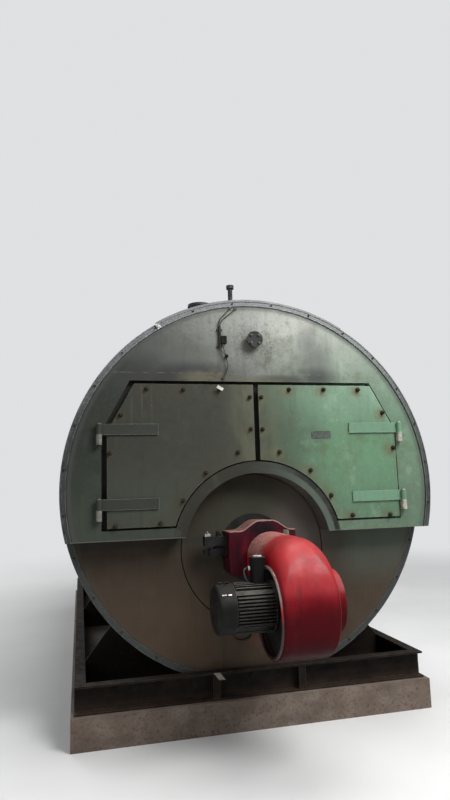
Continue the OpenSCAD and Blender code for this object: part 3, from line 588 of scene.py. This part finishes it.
def bare_metal(f, tint=(330, 320, 310), metal=0.85, dirt=0.5):
    """Brushed metal with spots of dirt."""
    f.clouds(60, tint, (100, 90, 80))
    f.over((45, 36, 28), f.patch(90, 0.54, 0.7), dirt)
    f.bumps(700, 0.15, 0.0003, detail=2, stretch=(1, 1, 0.2))
    f.done(f.uneven(90, 0.28, 0.55), metal=metal)


def nut_steel(f):
    """Dark, rough steel of nuts and studs."""
    f.clouds(120, (10, 11, 7), (34, 31, 19))
    f.bumps(900, 0.3, 0.0003)
    f.done(f.uneven(140, 0.6, 0.85), shine=0.2)


def sooty_steel(f):
    """Sooty steel inside the smokebox and on the tubes."""
    f.clouds(20, (12, 11, 10), (35, 30, 26), detail=5)
    f.over((70, 36, 20), f.patch(45, 0.56, 0.68, detail=5), 0.55)
    f.over((120, 105, 90), f.facing_up(0.3, 0.95), f.patch(9, 0.25, 0.6, detail=5), 0.7)
    f.bumps(350, 0.35, 0.0008, detail=4)
    f.done(f.uneven(30, 0.75, 0.95))


def cable_sheath(f):
    """Dark sheath of cables and leads."""
    f.clouds(80, (12, 11, 10), (40, 36, 32), detail=3)
    f.bumps(800, 0.2, 0.0002, detail=2)
    f.done(f.uneven(60, 0.5, 0.7, detail=2))


def tag_paint(f, tint, dirt=(300, 280, 240)):
    """Plain paint of a small piece, dirty in patches."""
    f.clouds(70, tint, dirt, 0.4, 0.72, detail=5)
    f.bumps(120, 0.3, 0.0008)
    f.done(f.uneven(60, 0.4, 0.65))


def concrete(f):
    """Rough plinth: damp patches, pits and pale dust on top."""
    f.clouds(5, (118, 84, 64), (175, 138, 112), 0.34, 0.68, detail=6, rough=0.65)
    f.over((36, 26, 20), f.patch(60, 0.52, 0.7, detail=5), 0.6)
    f.over((72, 52, 42), f.patch(3.4, 0.46, 0.64, stretch=(1, 1, 2.5), detail=5), 0.5)
    pits = f.fit(f.cells(55), 0.0, 0.25)
    f.over((30, 24, 20), f.calc("SUBTRACT", 1.0, pits), 0.5)
    f.over((170, 145, 125), f.facing_up(0.4, 0.95), f.patch(7, 0.3, 0.6), 0.45)
    f.bumps(45, 0.6, 0.006, detail=7, rough=0.7)
    f.relief(pits, 0.35, 0.003)
    f.done(f.uneven(30, 0.82, 0.96))


# Each finish by the name of its material: the function that paints it and what that one takes.
FINISHES = {finish.__name__: (finish,) for finish in (
    concrete, skid_paint, shell_sheet, rim_sheet, plate_paint, strap_paint, frame_paint, sooty_steel,
    dusty_paint, hinge_paint, bare_metal, cable_sheath, black_paint, burner_red, lip_metal, motor_black,
    nut_steel,
)}
FINISHES.update({
    "left_door_paint": (plate_paint, -1),
    "right_door_paint": (plate_paint, 1),
    "bright_metal": (bare_metal, (620, 610, 600), 0.55, 0.25),
    "stub_grey": (black_paint, (20, 21, 21)),
    "pipe_grey": (black_paint, (34, 40, 54)),
    "head_red": (burner_red, True),
    "fin_black": (motor_black, (110, 98, 85), 0.85),
    "plate_black": (black_paint, (4, 4, 4), 0.12),
    "stub_bolt": (tag_paint, (75, 73, 68), (32, 29, 24)),
    "sight_grey": (tag_paint, (130, 155, 115), (60, 58, 45)),
    "edge_dust": (tag_paint, (260, 200, 175), (110, 80, 70)),
    "tab_paint": (tag_paint, (200, 180, 150), (90, 78, 62)),
    "white_tag": (tag_paint, (580, 580, 550)),
    "blank_plate": (tag_paint, (24, 32, 25), (62, 78, 58)),
})
# Slots whose material has a name of its own.
SLOT_PAINTS = {
    "dark_steel": "skid_paint", "grey_paint": "shell_sheet", "rim_paint": "rim_sheet", "sage_paint": "plate_paint",
}
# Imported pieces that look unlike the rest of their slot.
SPECIAL = {
    "steam_outlet": "pipe_grey", "vent_pipe": "pipe_grey", "lifting_lugs": "pipe_grey",
    "front_stub": "stub_grey", "sensor_conduit": "stub_grey", "door_frame": "frame_paint",
    "left_door": "left_door_paint", "right_door": "right_door_paint", "left_door_straps": "strap_paint",
    "right_door_straps": "strap_paint", "burner_head": "head_red", "motor_body": "fin_black",
    "motor_plate": "plate_black",
}
# The finishes operator fills these in.
MATERIALS = {}


# ---- mesh tools


def around(count):
    """Angles spaced evenly over a turn."""
    return [2 * math.pi * k / count for k in range(count)]


def spread(low, high, steps):
    """Values spaced evenly between two, both ends included."""
    return [low + (high - low) * k / steps for k in range(steps + 1)]


def mesh_object(name, bm, material, smooth=False):
    """Turns a bmesh into an object of the scene."""
    mesh = bpy.data.meshes.new(name)
    bmesh.ops.recalc_face_normals(bm, faces=bm.faces)
    bm.to_mesh(mesh)
    bm.free()
    obj = bpy.data.objects.new(name, mesh)
    bpy.context.scene.collection.objects.link(obj)
    if material:
        mesh.materials.append(material)
    for poly in mesh.polygons:
        poly.use_smooth = smooth
    return obj


def settle(obj, body):
    """Puts a piece on its body."""
    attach(obj, body)
    return obj


def solid(name, paint, slot, *parts, body=ROOT, smooth=False):
    """A piece with its finish on a body; each part is a function and what that one takes."""
    bm = bmesh.new()
    for make, *more in parts:
        make(bm, *more)
    return settle(mesh_object(name, bm, MATERIALS[paint], smooth), body)


def at(x, y, z):
    """A matrix that moves to a place."""
    return Matrix.Translation(place(x, y, z))


# Turns Z to point out of the smokebox front, towards -Y.
OUTWARD = Matrix.Rotation(math.radians(90), 4, "X")


def loft(bm, loops, capped=False, wrap=False):
    """Joins loops of as many points each, with caps or as a closed ring; returns the loops' vertices."""
    rings = [[bm.verts.new(p) for p in loop] for loop in loops]
    for a, b in zip(rings, rings[1:] + rings[:1] if wrap else rings[1:]):
        for k in range(len(a)):
            m = (k + 1) % len(a)
            bm.faces.new((a[k], a[m], b[m], b[k]))
    if capped:
        bm.faces.new(rings[0][::-1])
        bm.faces.new(rings[-1])
    return rings


def prism(bm, outline, depth, matrix):
    """A closed prism on an outline in its XY plane, from 0 to depth along Z."""
    loft(bm, [[matrix @ Vector((x / 1000, y / 1000, z / 1000)) for x, y in outline] for z in (0, depth)], True)


def block(bm, low, high, matrix):
    """A closed box between two corners."""
    outline = [(low[0], low[1]), (high[0], low[1]), (high[0], high[1]), (low[0], high[1])]
    prism(bm, outline, high[2] - low[2], matrix @ Matrix.Translation((0, 0, low[2] / 1000)))


def turned(bm, profile, matrix, sides):
    """A closed turned form: profile is (radius, height) pairs that start and end on the axis."""
    rings = []
    for radius, height in profile:
        angles = around(sides) if radius else [0.0]
        rings.append([bm.verts.new(matrix @ (Vector((radius * math.cos(a), radius * math.sin(a), height)) / 1000))
                      for a in angles])
    for a, b in zip(rings, rings[1:]):
        for k in range(sides):
            m = (k + 1) % sides
            if len(a) == 1 and len(b) > 1:
                bm.faces.new((a[0], b[k], b[m]))
            elif len(b) == 1 and len(a) > 1:
                bm.faces.new((a[k], b[0], a[m]))
            elif len(a) > 1:
                bm.faces.new((a[k], b[k], b[m], a[m]))


def fill_between(bm, outer, inner=None):
    """Fills a flat loop, or the flat band between two loops."""
    edges = []
    for ring in (outer, inner or []):
        for k, vert in enumerate(ring):
            other = ring[(k + 1) % len(ring)]
            edges.append(bm.edges.get((vert, other)) or bm.edges.new((vert, other)))
    bmesh.ops.triangle_fill(bm, use_beauty=True, use_dissolve=False, edges=edges)


def draw_in(points, amounts, fixed=()):
    """Moves each point of a counter-clockwise loop towards its inside; fixed ends move only up or down."""
    out = []
    count = len(points)
    for k, (y, z) in enumerate(points):
        ay, az = points[k - 1]
        by, bz = points[(k + 1) % count]
        ty, tz = by - ay, bz - az
        size = math.hypot(ty, tz) or 1.0
        ny, nz = -tz / size, ty / size
        if k in fixed:
            ny, nz = 0.0, math.copysign(1.0, nz)
        out.append((y + ny * amounts[k], z + nz * amounts[k]))
    return out


def smooth_by_angle(obj, angle):
    obj.data.shade_smooth()
    obj.data.set_sharp_from_angle(angle=math.radians(angle))


def sweep(bm, points, radius, sides):
    """A closed round tube along points, with a steady frame."""
    rings = []
    across = None
    for i, p in enumerate(points):
        run = (points[min(i + 1, len(points) - 1)] - points[max(i - 1, 0)]).normalized()
        if across is None:
            across = run.cross(Vector((0, 0, 1)) if abs(run.z) < 0.9 else Vector((1, 0, 0))).normalized()
        else:
            across = (across - run * across.dot(run)).normalized()
        over = run.cross(across)
        rings.append([p + radius / 1000 * (math.cos(a) * across + math.sin(a) * over) for a in around(sides)])
    loft(bm, rings, True)


def smooth_path(points):
    """Points on a smooth curve through the given ones."""
    steps = 6
    ext = [2 * points[0] - points[1]] + points + [2 * points[-1] - points[-2]]
    out = []
    for a, b, c, d in zip(ext, ext[1:], ext[2:], ext[3:]):
        for s in range(steps):
            t = s / steps
            curve = (2 * a - 5 * b + 4 * c - d) * t * t + (3 * b - a - 3 * c + d) * t ** 3
            out.append(0.5 * (2 * b + (c - a) * t + curve))
    out.append(points[-1])
    return out


def wire(bm, points, radius, sides):
    """A bent wire through places."""
    sweep(bm, smooth_path([place(*p) for p in points]), radius, sides)


def spread_tree(name):
    """Geometry Nodes that copy a piece onto points, each with a turn and a tilt at random."""
    tree = bpy.data.node_groups.new(name, "GeometryNodeTree")
    for label, kind in (("Geometry", "Geometry"), ("Piece", "Object"), ("Turn", "Float"), ("Tilt", "Float"),
                        ("Seed", "Int"), ("Material", "Material")):
        tree.interface.new_socket(label, in_out="INPUT", socket_type="NodeSocket" + kind)
    tree.interface.new_socket("Geometry", in_out="OUTPUT", socket_type="NodeSocketGeometry")
    source, sink, info, copies, spin, most, least, realize, paint = (tree.nodes.new(kind) for kind in (
        "NodeGroupInput", "NodeGroupOutput", "GeometryNodeObjectInfo", "GeometryNodeInstanceOnPoints",
        "FunctionNodeRandomValue", "ShaderNodeCombineXYZ", "ShaderNodeVectorMath",
        "GeometryNodeRealizeInstances", "GeometryNodeSetMaterial"))
    spin.data_type = "FLOAT_VECTOR"
    least.operation = "SCALE"
    least.inputs["Scale"].default_value = -1.0
    for node, output, other, key in (
        (source, "Geometry", copies, "Points"), (source, "Piece", info, "Object"),
        (info, "Geometry", copies, "Instance"), (source, "Tilt", most, "X"), (source, "Turn", most, "Y"),
        (source, "Tilt", most, "Z"), (most, 0, least, 0), (least, 0, spin, 0), (most, 0, spin, 1),
        (source, "Seed", spin, "Seed"), (spin, 0, copies, "Rotation"), (copies, 0, realize, 0),
        (realize, 0, paint, 0), (source, "Material", paint, "Material"), (paint, 0, sink, 0),
    ):
        tree.links.new(node.outputs[output], other.inputs[key])
    return tree


def repeat_on_points(name, points, pattern, paint, seed, body=ROOT, tilt=0.0):
    """Copies one small piece onto points, as a plain mesh on its body; the pattern itself goes."""
    tree = spread_tree(name + "_tree")
    base = bpy.data.meshes.new(name + "_points")
    base.from_pydata(points, [], [])
    holder = bpy.data.objects.new(name + "_holder", base)
    bpy.context.scene.collection.objects.link(holder)
    modifier = holder.modifiers.new("spread", "NODES")
    modifier.node_group = tree
    values = {"Piece": pattern, "Turn": math.pi, "Tilt": tilt, "Seed": seed, "Material": MATERIALS[paint]}
    for item in tree.interface.items_tree:
        if item.in_out == "INPUT" and item.name in values:
            modifier[item.identifier] = values[item.name]
    depsgraph = bpy.context.evaluated_depsgraph_get()
    mesh = bpy.data.meshes.new_from_object(holder.evaluated_get(depsgraph))
    mesh.name = name
    obj = bpy.data.objects.new(name, mesh)
    bpy.context.scene.collection.objects.link(obj)
    bpy.data.objects.remove(holder)
    bpy.data.objects.remove(pattern)
    if not mesh.vertices:
        raise RuntimeError(name + " came out empty")
    return settle(obj, body)


def nut_pattern(name, across, washer, stud):
    """A washer, a hexagon nut and the end of its stud, standing along -Y from the origin."""
    bm = bmesh.new()
    thick, chamfer = 3, 2.2
    turned(bm, [(0, 0), (washer, 0), (washer, 2.2), (washer - 0.8, thick), (0, thick)], OUTWARD, 20)
    corner = across / math.sqrt(3) / 1000
    height = across * 0.75
    top = height + chamfer
    loft(bm, [[OUTWARD @ Vector((scale * corner * math.cos(a), scale * corner * math.sin(a), z / 1000))
               for a in around(6)] for scale, z in ((0.93, thick), (1, 4.5), (1, height), (0.9, top))], True)
    end, bevel, tip = across * 0.3, 1.5, top + stud
    turned(bm, [(0, top), (end, top), (end, tip - bevel), (end - bevel, tip), (0, tip)], OUTWARD, 12)
    return mesh_object(name, bm, None)


# ---- pieces


def scroll_outline():
    """Side view of the scroll, counter-clockwise seen from the left: (forward y, z, side rounding)."""
    front, top, bottom = 404.0, 353.0, 101.0
    start_r, growth, side_r = 267.6, 30.0, 205.0
    soft, crisp = 148.0, 17.0
    points = [(y, top, soft) for y in spread(front, 0.0, 9)[:-1]]
    for a in range(0, 291, 4):
        near = max(0.0, 1 - a / 70.0)
        ease = near * near * (3 - 2 * near)
        radius = start_r + growth * (a - 90) / 180 + (top - start_r + growth / 2) * ease
        turn = math.radians(a)
        gap = radius - side_r + 26.0 * math.cos(turn + 0.35)
        rounding = min(crisp + (soft - crisp) * ease, max(14.0, gap))
        points.append((-radius * math.sin(turn), radius * math.cos(turn), rounding))
    return points + [(330.0, bottom, 12.0), (front, bottom, 12.0)]


class BOILER_OT_fan_scroll(bpy.types.Operator):
    """Smooth casting of the fan scroll, its arched neck and the lip round the motor plate"""

    bl_idname = "boiler.fan_scroll"
    bl_label = "Fan Scroll"

    def execute(self, context):
        left, right = -104.0, 200.0
        line = scroll_outline()
        outline = [(y, z) for y, z, r in line]
        rounding = [r for y, z, r in line]
        turns = spread(0.0, math.pi / 2, 9)
        loops = []
        for side, way, bends in ((left, 1, turns), (right, -1, turns[::-1])):
            for bend in bends:
                inset = draw_in(outline, [r * (1 - math.sin(bend)) for r in rounding], (0, len(line) - 1))
                loops.append([place(side + way * r * (1 - math.cos(bend)), y + FAN[0], z + FAN[1])
                              for (y, z), r in zip(inset, rounding)])
        bm = bmesh.new()
        rings = loft(bm, loops)
        recess, radius = 36.0, 224.5
        wall = loft(bm, [[place(x, MOTOR_PLATE[0] + radius * math.cos(a), MOTOR_PLATE[1] + radius * math.sin(a))
                          for a in around(72)] for x in (left, left + recess)])
        fill_between(bm, rings[0], wall[0])
        bm.faces.new(wall[1])
        fill_between(bm, rings[-1])
        bmesh.ops.remove_doubles(bm, verts=bm.verts, dist=1e-6)
        obj = mesh_object("fan_scroll_casting", bm, MATERIALS["burner_red"])
        smooth_by_angle(obj, 38.0)
        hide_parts("fan_scroll")
        settle(obj, ROOT)

        centre, thick = 229.5, 9.5
        rows = []
        for a in around(120):
            radii = [(centre + thick * math.cos(b), left + thick * math.sin(b)) for b in around(24)]
            rows.append([place(x, MOTOR_PLATE[0] + r * math.cos(a), MOTOR_PLATE[1] + r * math.sin(a))
                         for r, x in radii])
        solid("fan_scroll_lip", "lip_metal", "burner_red", (loft, rows, False, True), smooth=True)
        return {"FINISHED"}


def head_edge(x):
    """Height of the head's top edge, in millimetres above the burner axis."""
    middle, crown_at, shoulder_at, crown, shoulder = 22.0, 40.0, 165.0, 177.0, 118.0
    t = max(0.0, min(1.0, (shoulder_at - abs(x - middle)) / (shoulder_at - crown_at)))
    return shoulder + (crown - shoulder) * t * t * (3 - 2 * t)


class BOILER_OT_burner_head(bpy.types.Operator):
    """Smooth casting of the burner head with the dusty lip along its top"""

    bl_idname = "boiler.burner_head"
    bl_label = "Burner Head"

    def execute(self, context):
        half = 208.0
        outline = [(x, head_edge(x)) for x in spread(-half, half, 48)]
        outline += [(half, 30.0), (half, -60.0), (203.0, -122.0), (190.0, -139.0), (0.0, -139.0),
                    (-190.0, -139.0), (-203.0, -122.0), (-half, -60.0), (-half, 30.0)]
        outline = outline[::-1]
        bm = bmesh.new()
        rings = loft(bm, [
            [place(x, y, z + BURNER_Z) for x, z in draw_in(outline, [inset] * len(outline))]
            for y, inset in ((140.0, 4.0), (136.0, 0.0), (-44.0, 0.0), (-46.0, -1.0), (-48.0, -4.5),
                             (-57.0, -4.5), (-60.0, -2.0), (-61.0, 1.0))
        ])
        fill_between(bm, rings[0])
        fill_between(bm, rings[-1])
        obj = mesh_object("burner_head_casting", bm, MATERIALS["head_red"])
        smooth_by_angle(obj, 32.0)
        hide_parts("burner_head")
        settle(obj, ROOT)

        edge = [place(x, -57.5, head_edge(x) + 2.6 + BURNER_Z) for x in spread(-half - 1, half + 1, 60)]
        solid("burner_head_edge", "edge_dust", "burner_red", (sweep, edge, 2.4, 6), smooth=True)
        return {"FINISHED"}


class BOILER_OT_finishes(bpy.types.Operator):
    """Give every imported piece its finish"""

    bl_idname = "boiler.finishes"
    bl_label = "Finishes"

    def execute(self, context):
        for name, (finish, *more) in FINISHES.items():
            f = Finish(name, context.scene.boiler_colours)
            finish(f, *more)
            MATERIALS[name] = f.mat
        slots = {row["node"]: row["material_slot"] for row in frame["record"]["subparts"]}
        for name, obj in frame["nodes"].items():
            slot = slots[name]
            obj.data.materials.clear()
            obj.data.materials.append(MATERIALS[SPECIAL.get(name, SLOT_PAINTS.get(slot, slot))])
        return {"FINISHED"}


class BOILER_OT_door_bolts(bpy.types.Operator):
    """Washers, nuts and stud ends on both doors"""

    bl_idname = "boiler.door_bolts"
    bl_label = "Door Bolts"

    def execute(self, context):
        s = context.scene.boiler_sizes
        for side, body, spots in ((-1, "left_door", LEFT_BOLTS), (1, "right_door", RIGHT_BOLTS)):
            sizes = [1000 * size for size in (s.nut_across, s.washer_radius, s.stud_length)]
            pattern = nut_pattern("door_nut_pattern", *sizes)
            points = [place(x, -6, z) for x, z in spots]
            repeat_on_points(body + "_nuts", points, pattern, "nut_steel", s.seed + side, body,
                             math.radians(4))
        return {"FINISHED"}


class BOILER_OT_plate_fittings(bpy.types.Operator):
    """Bolts of the stub, rim screws, blank plate, tag, clip, sensor links, beam tab and a wire"""

    bl_idname = "boiler.plate_fittings"
    bl_label = "Plate Fittings"

    def execute(self, context):
        s = context.scene.boiler_sizes
        bolt = nut_pattern("stub_bolt_pattern", 13, 8, 2)
        corners = [math.radians(a) for a in (45, 135, 225, 315)]
        points = [place(36 * math.cos(a), -52, STUB_Z + 36 * math.sin(a)) for a in corners]
        repeat_on_points("front_stub_bolts", points, bolt, "stub_bolt", s.seed)

        screw = nut_pattern("rim_screw_pattern", 9, 6, 1)
        radius, smokebox_end, behind = 1181, -290, 160
        points = []
        for k in range(s.sheet_screws):
            a = 2 * math.pi * (k + 0.5) / s.sheet_screws
            z = radius * math.sin(a)
            points.append(place(radius * math.cos(a), -6 if z > smokebox_end else behind, z))
        repeat_on_points("front_ring_screws", points, screw, "nut_steel", s.seed + 3)

        corner, wide, tall = 6, 66, 24
        outline = [(x * (wide - corner) + corner * math.cos(a), z * (tall - corner) + corner * math.sin(a))
                   for x, z, start in ((1, 1, 0), (-1, 1, 90), (-1, -1, 180), (1, -1, 270))
                   for a in (math.radians(start + 22.5 * k) for k in range(5))]
        head = [(0, 0), (4.2, 0), (4.2, 3.8), (3, 4.8), (0, 4.8)]
        solid("blank_door_plate", "blank_plate", "bare_metal",
              (prism, outline, 2.5, at(436, -6, 323) @ OUTWARD),
              *[(turned, head, at(x, -6, 323) @ OUTWARD, 12) for x in (378, 494)], body="right_door")

        turn = Matrix.Rotation(math.radians(-28), 4, "Z") @ Matrix.Rotation(math.radians(8), 4, "X")
        tag = [(-21, -10), (21, -10), (23, 8), (-19, 11)]
        solid("door_tag", "white_tag", "bare_metal", (prism, tag, 3.5, at(-236, -38.5, 619) @ OUTWARD @ turn),
              body="left_door")

        away = math.radians(121.2)
        stand = at(1184 * math.cos(away), 0, 1184 * math.sin(away)) @ OUTWARD @ Matrix.Rotation(away, 4, "Z")
        solid("rim_clip", "bright_metal", "rim_paint", (block, (-20, -13, 6), (15, 13, 12), stand),
              (block, (-13, -7, 12), (4, 7, 16), stand))
        solid("sensor_link", "cable_sheath", "cable_sheath",
              (wire, [(-222, -12, 882), (-217, -13, 868), (-204, -17, 850), (-190, -20, 833)], 3.2, 8),
              (wire, [(-206, -22, 912), (-203, -25, 890), (-198, -24, 862), (-188, -22, 836)], 2.2, 6),
              smooth=True)
        tab = [(0, -44), (39, -44), (5.5, -1), (-34, -1)]
        solid("beam_tab_face", "tab_paint", "dark_steel", (prism, tab, 1.2, at(-260, 95, -1103) @ OUTWARD))
        scrape = [(-372, 157, -418), (-362, 154, -430), (-352, 156, -447), (-340, 157, -466)]
        solid("plate_scrape_wire", "cable_sheath", "dusty_paint", (wire, scrape, 2.2, 6), smooth=True)
        return {"FINISHED"}


class BOILER_OT_burner_fittings(bpy.types.Operator):
    """Clips, box cap, gland, cable, foot loop, inlet guard, sight box, servo dial and hinge lever"""

    bl_idname = "boiler.burner_fittings"
    bl_label = "Burner Fittings"

    def execute(self, context):
        fan_y, fan_z = FAN
        lean = Matrix.Rotation(math.radians(40), 4, "X")
        solid("cowl_clip", "bright_metal", "motor_black",
              *[(block, (-11, -3.5, 0), (11, 3.5, 5), at(x, -559, fan_z + 84) @ lean) for x in (-366, -337)])
        cap = [(0, 0), (24, 0), (26, 2), (26, 5), (22, 8), (10, 9.5), (0, 9.5)]
        solid("terminal_box_cap", "bright_metal", "motor_black", (turned, cap, at(-158, fan_y, fan_z + 257), 28))
        hexagon = [(12.5 * math.cos(a), 12.5 * math.sin(a)) for a in around(6)]
        gland = at(-201.5, fan_y, fan_z + 199) @ Matrix.Rotation(math.radians(-90), 4, "Y")
        solid("gland_nut", "bright_metal", "bare_metal", (prism, hexagon, 10, gland))

        cable = [(x, fan_y + y, fan_z + z) for x, y, z in (
            (-221, 0, 199), (-231, -2, 196), (-236, -6, 182), (-231, -10, 158), (-222, -12, 140),
            (-217, -12, 131.5))]
        solid("motor_cable", "cable_sheath", "motor_black", (wire, cable, 4.5, 8), smooth=True)
        hang = [(x, fan_y, z) for x, z in (
            (-300, -752), (-299, -763), (-289, -777), (-268, -784), (-240, -784), (-219, -777), (-209, -763),
            (-208, -752))]
        loop = solid("motor_foot_loop", "black_paint", "motor_black", (wire, hang, 6.5, 10), smooth=True)
        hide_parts("motor_foot")

        inlet, guard = 163, []
        for off in spread(-132, 132, 8):
            half = math.sqrt(inlet * inlet - off * off)
            guard.append((sweep, [place(262, fan_y + off, fan_z + end) for end in (-half, half)], 2.2, 6))
            guard.append((sweep, [place(258, fan_y + end, fan_z + off) for end in (-half, half)], 2.2, 6))
        solid("inlet_guard", "bare_metal", "bare_metal", *guard, smooth=True)

        face = at(146, -60.5, -281) @ OUTWARD
        box = [(-17, -13), (-13, -17), (13, -17), (17, -13), (17, 13), (13, 17), (-13, 17), (-17, 13)]
        solid("head_sight_box", "sight_grey", "bare_metal", (prism, box, 16, face),
              (turned, [(0, 16), (11, 16), (10, 21), (0, 21)], face, 18),
              (turned, [(0, 17), (4, 17), (4, 26), (0, 26)], face, 10))
        solid("servo_dial", "bright_metal", "bare_metal",
              (block, (-17, -10, 0), (17, 10, 16), at(-322, 40, -291)),
              (turned, [(0, 0), (7, 0), (7, 10), (4, 13), (0, 13)], at(-322, 40, -275), 14))
        knob = [(0, 0), (8, 0), (8, 3), (4.5, 4), (4.5, 12), (0, 12)]
        solid("hinge_lever", "nut_steel", "bare_metal", (turned, knob, at(-226, 60, -293), 14),
              (block, (-20, -4, 0), (20, 4, 4), at(-240, 40, -293)))
        return {"FINISHED"}


# ---- stage

BACKDROP = (740, 750, 760)
# Square lights: place, target, size and power.
LIGHTS = {
    "key_light": ((1.9, -5.2, 4.6), (0.2, -2.1, 1.5), 2.4, 290.0),
    "fill_light": ((-6.2, -6.8, 3.6), (0.0, -2.0, 1.3), 4.0, 45.0),
    "top_light": ((0.8, -1.6, 7.2), (0.2, -1.6, 1.5), 4.0, 330.0),
    "back_light": ((-4.5, 7.0, 5.0), (0.0, 1.0, 1.5), 4.0, 260.0),
}
# The photo's camera: where it stands, and its yaw, pitch and roll in degrees.
CAMERA_AT = (-1.082, -5.938, 1.465)
CAMERA_TURN = (13.68, 8.0, -1.69)


def camera_turn():
    """The camera's rotation, from its yaw, pitch and roll."""
    yaw, pitch, roll = (math.radians(a) for a in CAMERA_TURN)
    ahead = Vector((math.sin(yaw) * math.cos(pitch), math.cos(yaw) * math.cos(pitch), math.sin(pitch)))
    level = Vector((math.cos(yaw), -math.sin(yaw), 0))
    above = level.cross(ahead)
    right = math.cos(roll) * level + math.sin(roll) * above
    up = -math.sin(roll) * level + math.cos(roll) * above
    return Matrix((right, up, -ahead)).transposed().to_4x4()


class BOILER_OT_stage(bpy.types.Operator):
    """Pale floor that fades into a pale backdrop, soft lights and the camera"""

    bl_idname = "boiler.stage"
    bl_label = "Stage"

    def execute(self, context):
        scene = context.scene
        f = Finish("stage_floor")
        f.clouds(0.8, (600, 600, 590), (640, 640, 630), 0.3, detail=3)
        f.done(0.9)
        seen = f.add("ShaderNodeLightPath").outputs["Is Camera Ray"]
        fade = f.times(f.fit(f.length(f.coord), 3.2, 9.0), seen)
        air = f.add("ShaderNodeEmission", {"Color": BACKDROP}).outputs[0]
        mix = f.add("ShaderNodeMixShader", {0: fade, 1: f.shader.outputs["BSDF"], 2: air})
        f.join(mix.outputs[0], f.out.inputs["Surface"])
        bm = bmesh.new()
        bmesh.ops.create_circle(bm, cap_ends=True, radius=60.0, segments=64)
        floor = mesh_object("stage_floor", bm, f.mat)
        if floor.data.polygons[0].normal.z < 0:
            floor.data.flip_normals()

        world = bpy.data.worlds.new("stage_air")
        scene.world = world
        world.use_nodes = True
        nodes, link = world.node_tree.nodes, world.node_tree.links.new
        nodes.clear()
        out, light, seen, mix, ray = (nodes.new("ShaderNode" + kind) for kind in (
            "OutputWorld", "Background", "Background", "MixShader", "LightPath"))
        light.inputs["Color"].default_value = rgb((930, 960, 1000))
        light.inputs["Strength"].default_value = 0.42
        seen.inputs["Color"].default_value = rgb(BACKDROP)
        for key, output in enumerate((ray.outputs["Is Camera Ray"], light.outputs[0], seen.outputs[0])):
            link(output, mix.inputs[key])
        link(mix.outputs[0], out.inputs["Surface"])

        for name, (where, target, size, power) in LIGHTS.items():
            lamp = bpy.data.lights.new(name, "AREA")
            lamp.shape = "SQUARE"
            lamp.size = size
            lamp.energy = power
            obj = bpy.data.objects.new(name, lamp)
            scene.collection.objects.link(obj)
            obj.location = where
            obj.rotation_euler = (Vector(target) - Vector(where)).to_track_quat("-Z", "Y").to_euler()

        camera = bpy.data.cameras.new("camera")
        camera.lens = 27.0
        camera.sensor_width = 36.0
        camera.clip_end = 200.0
        obj = bpy.data.objects.new("camera", camera)
        scene.collection.objects.link(obj)
        obj.matrix_world = Matrix.Translation(CAMERA_AT) @ camera_turn()
        scene.camera = obj
        scene.view_settings.view_transform = "Standard"
        return {"FINISHED"}


# ---- add-on


class BOILER_PT_panel(bpy.types.Panel):
    """Lists the boiler's operators, sizes and colours"""

    bl_idname = "BOILER_PT_panel"
    bl_label = "Boiler"
    bl_space_type = "VIEW_3D"
    bl_region_type = "UI"
    bl_category = "Boiler"

    def draw(self, context):
        column = self.layout.column(align=True)
        for operator in OPERATORS:
            column.operator(operator.bl_idname)
        for name in ("nut_across", "washer_radius", "stud_length", "sheet_screws", "seed"):
            self.layout.prop(context.scene.boiler_sizes, name)
        for name in ("sage", "pale", "earth", "crimson", "dust", "steel"):
            self.layout.prop(context.scene.boiler_colours, name)


OPERATORS = (
    BOILER_OT_stage,
    BOILER_OT_finishes,
    BOILER_OT_door_bolts,
    BOILER_OT_plate_fittings,
    BOILER_OT_fan_scroll,
    BOILER_OT_burner_head,
    BOILER_OT_burner_fittings,
)
CLASSES = (BoilerSizes, BoilerColours, *OPERATORS, BOILER_PT_panel)


def register():
    for cls in CLASSES:
        bpy.utils.register_class(cls)
    bpy.types.Scene.boiler_sizes = PointerProperty(type=BoilerSizes)
    bpy.types.Scene.boiler_colours = PointerProperty(type=BoilerColours)


def unregister():
    del bpy.types.Scene.boiler_sizes
    del bpy.types.Scene.boiler_colours
    for cls in reversed(CLASSES):
        bpy.utils.unregister_class(cls)


def main():
    register()
    for operator in OPERATORS:
        group, name = operator.bl_idname.split(".")
        getattr(getattr(bpy.ops, group), name)()


if __name__ == "__main__":
    main()
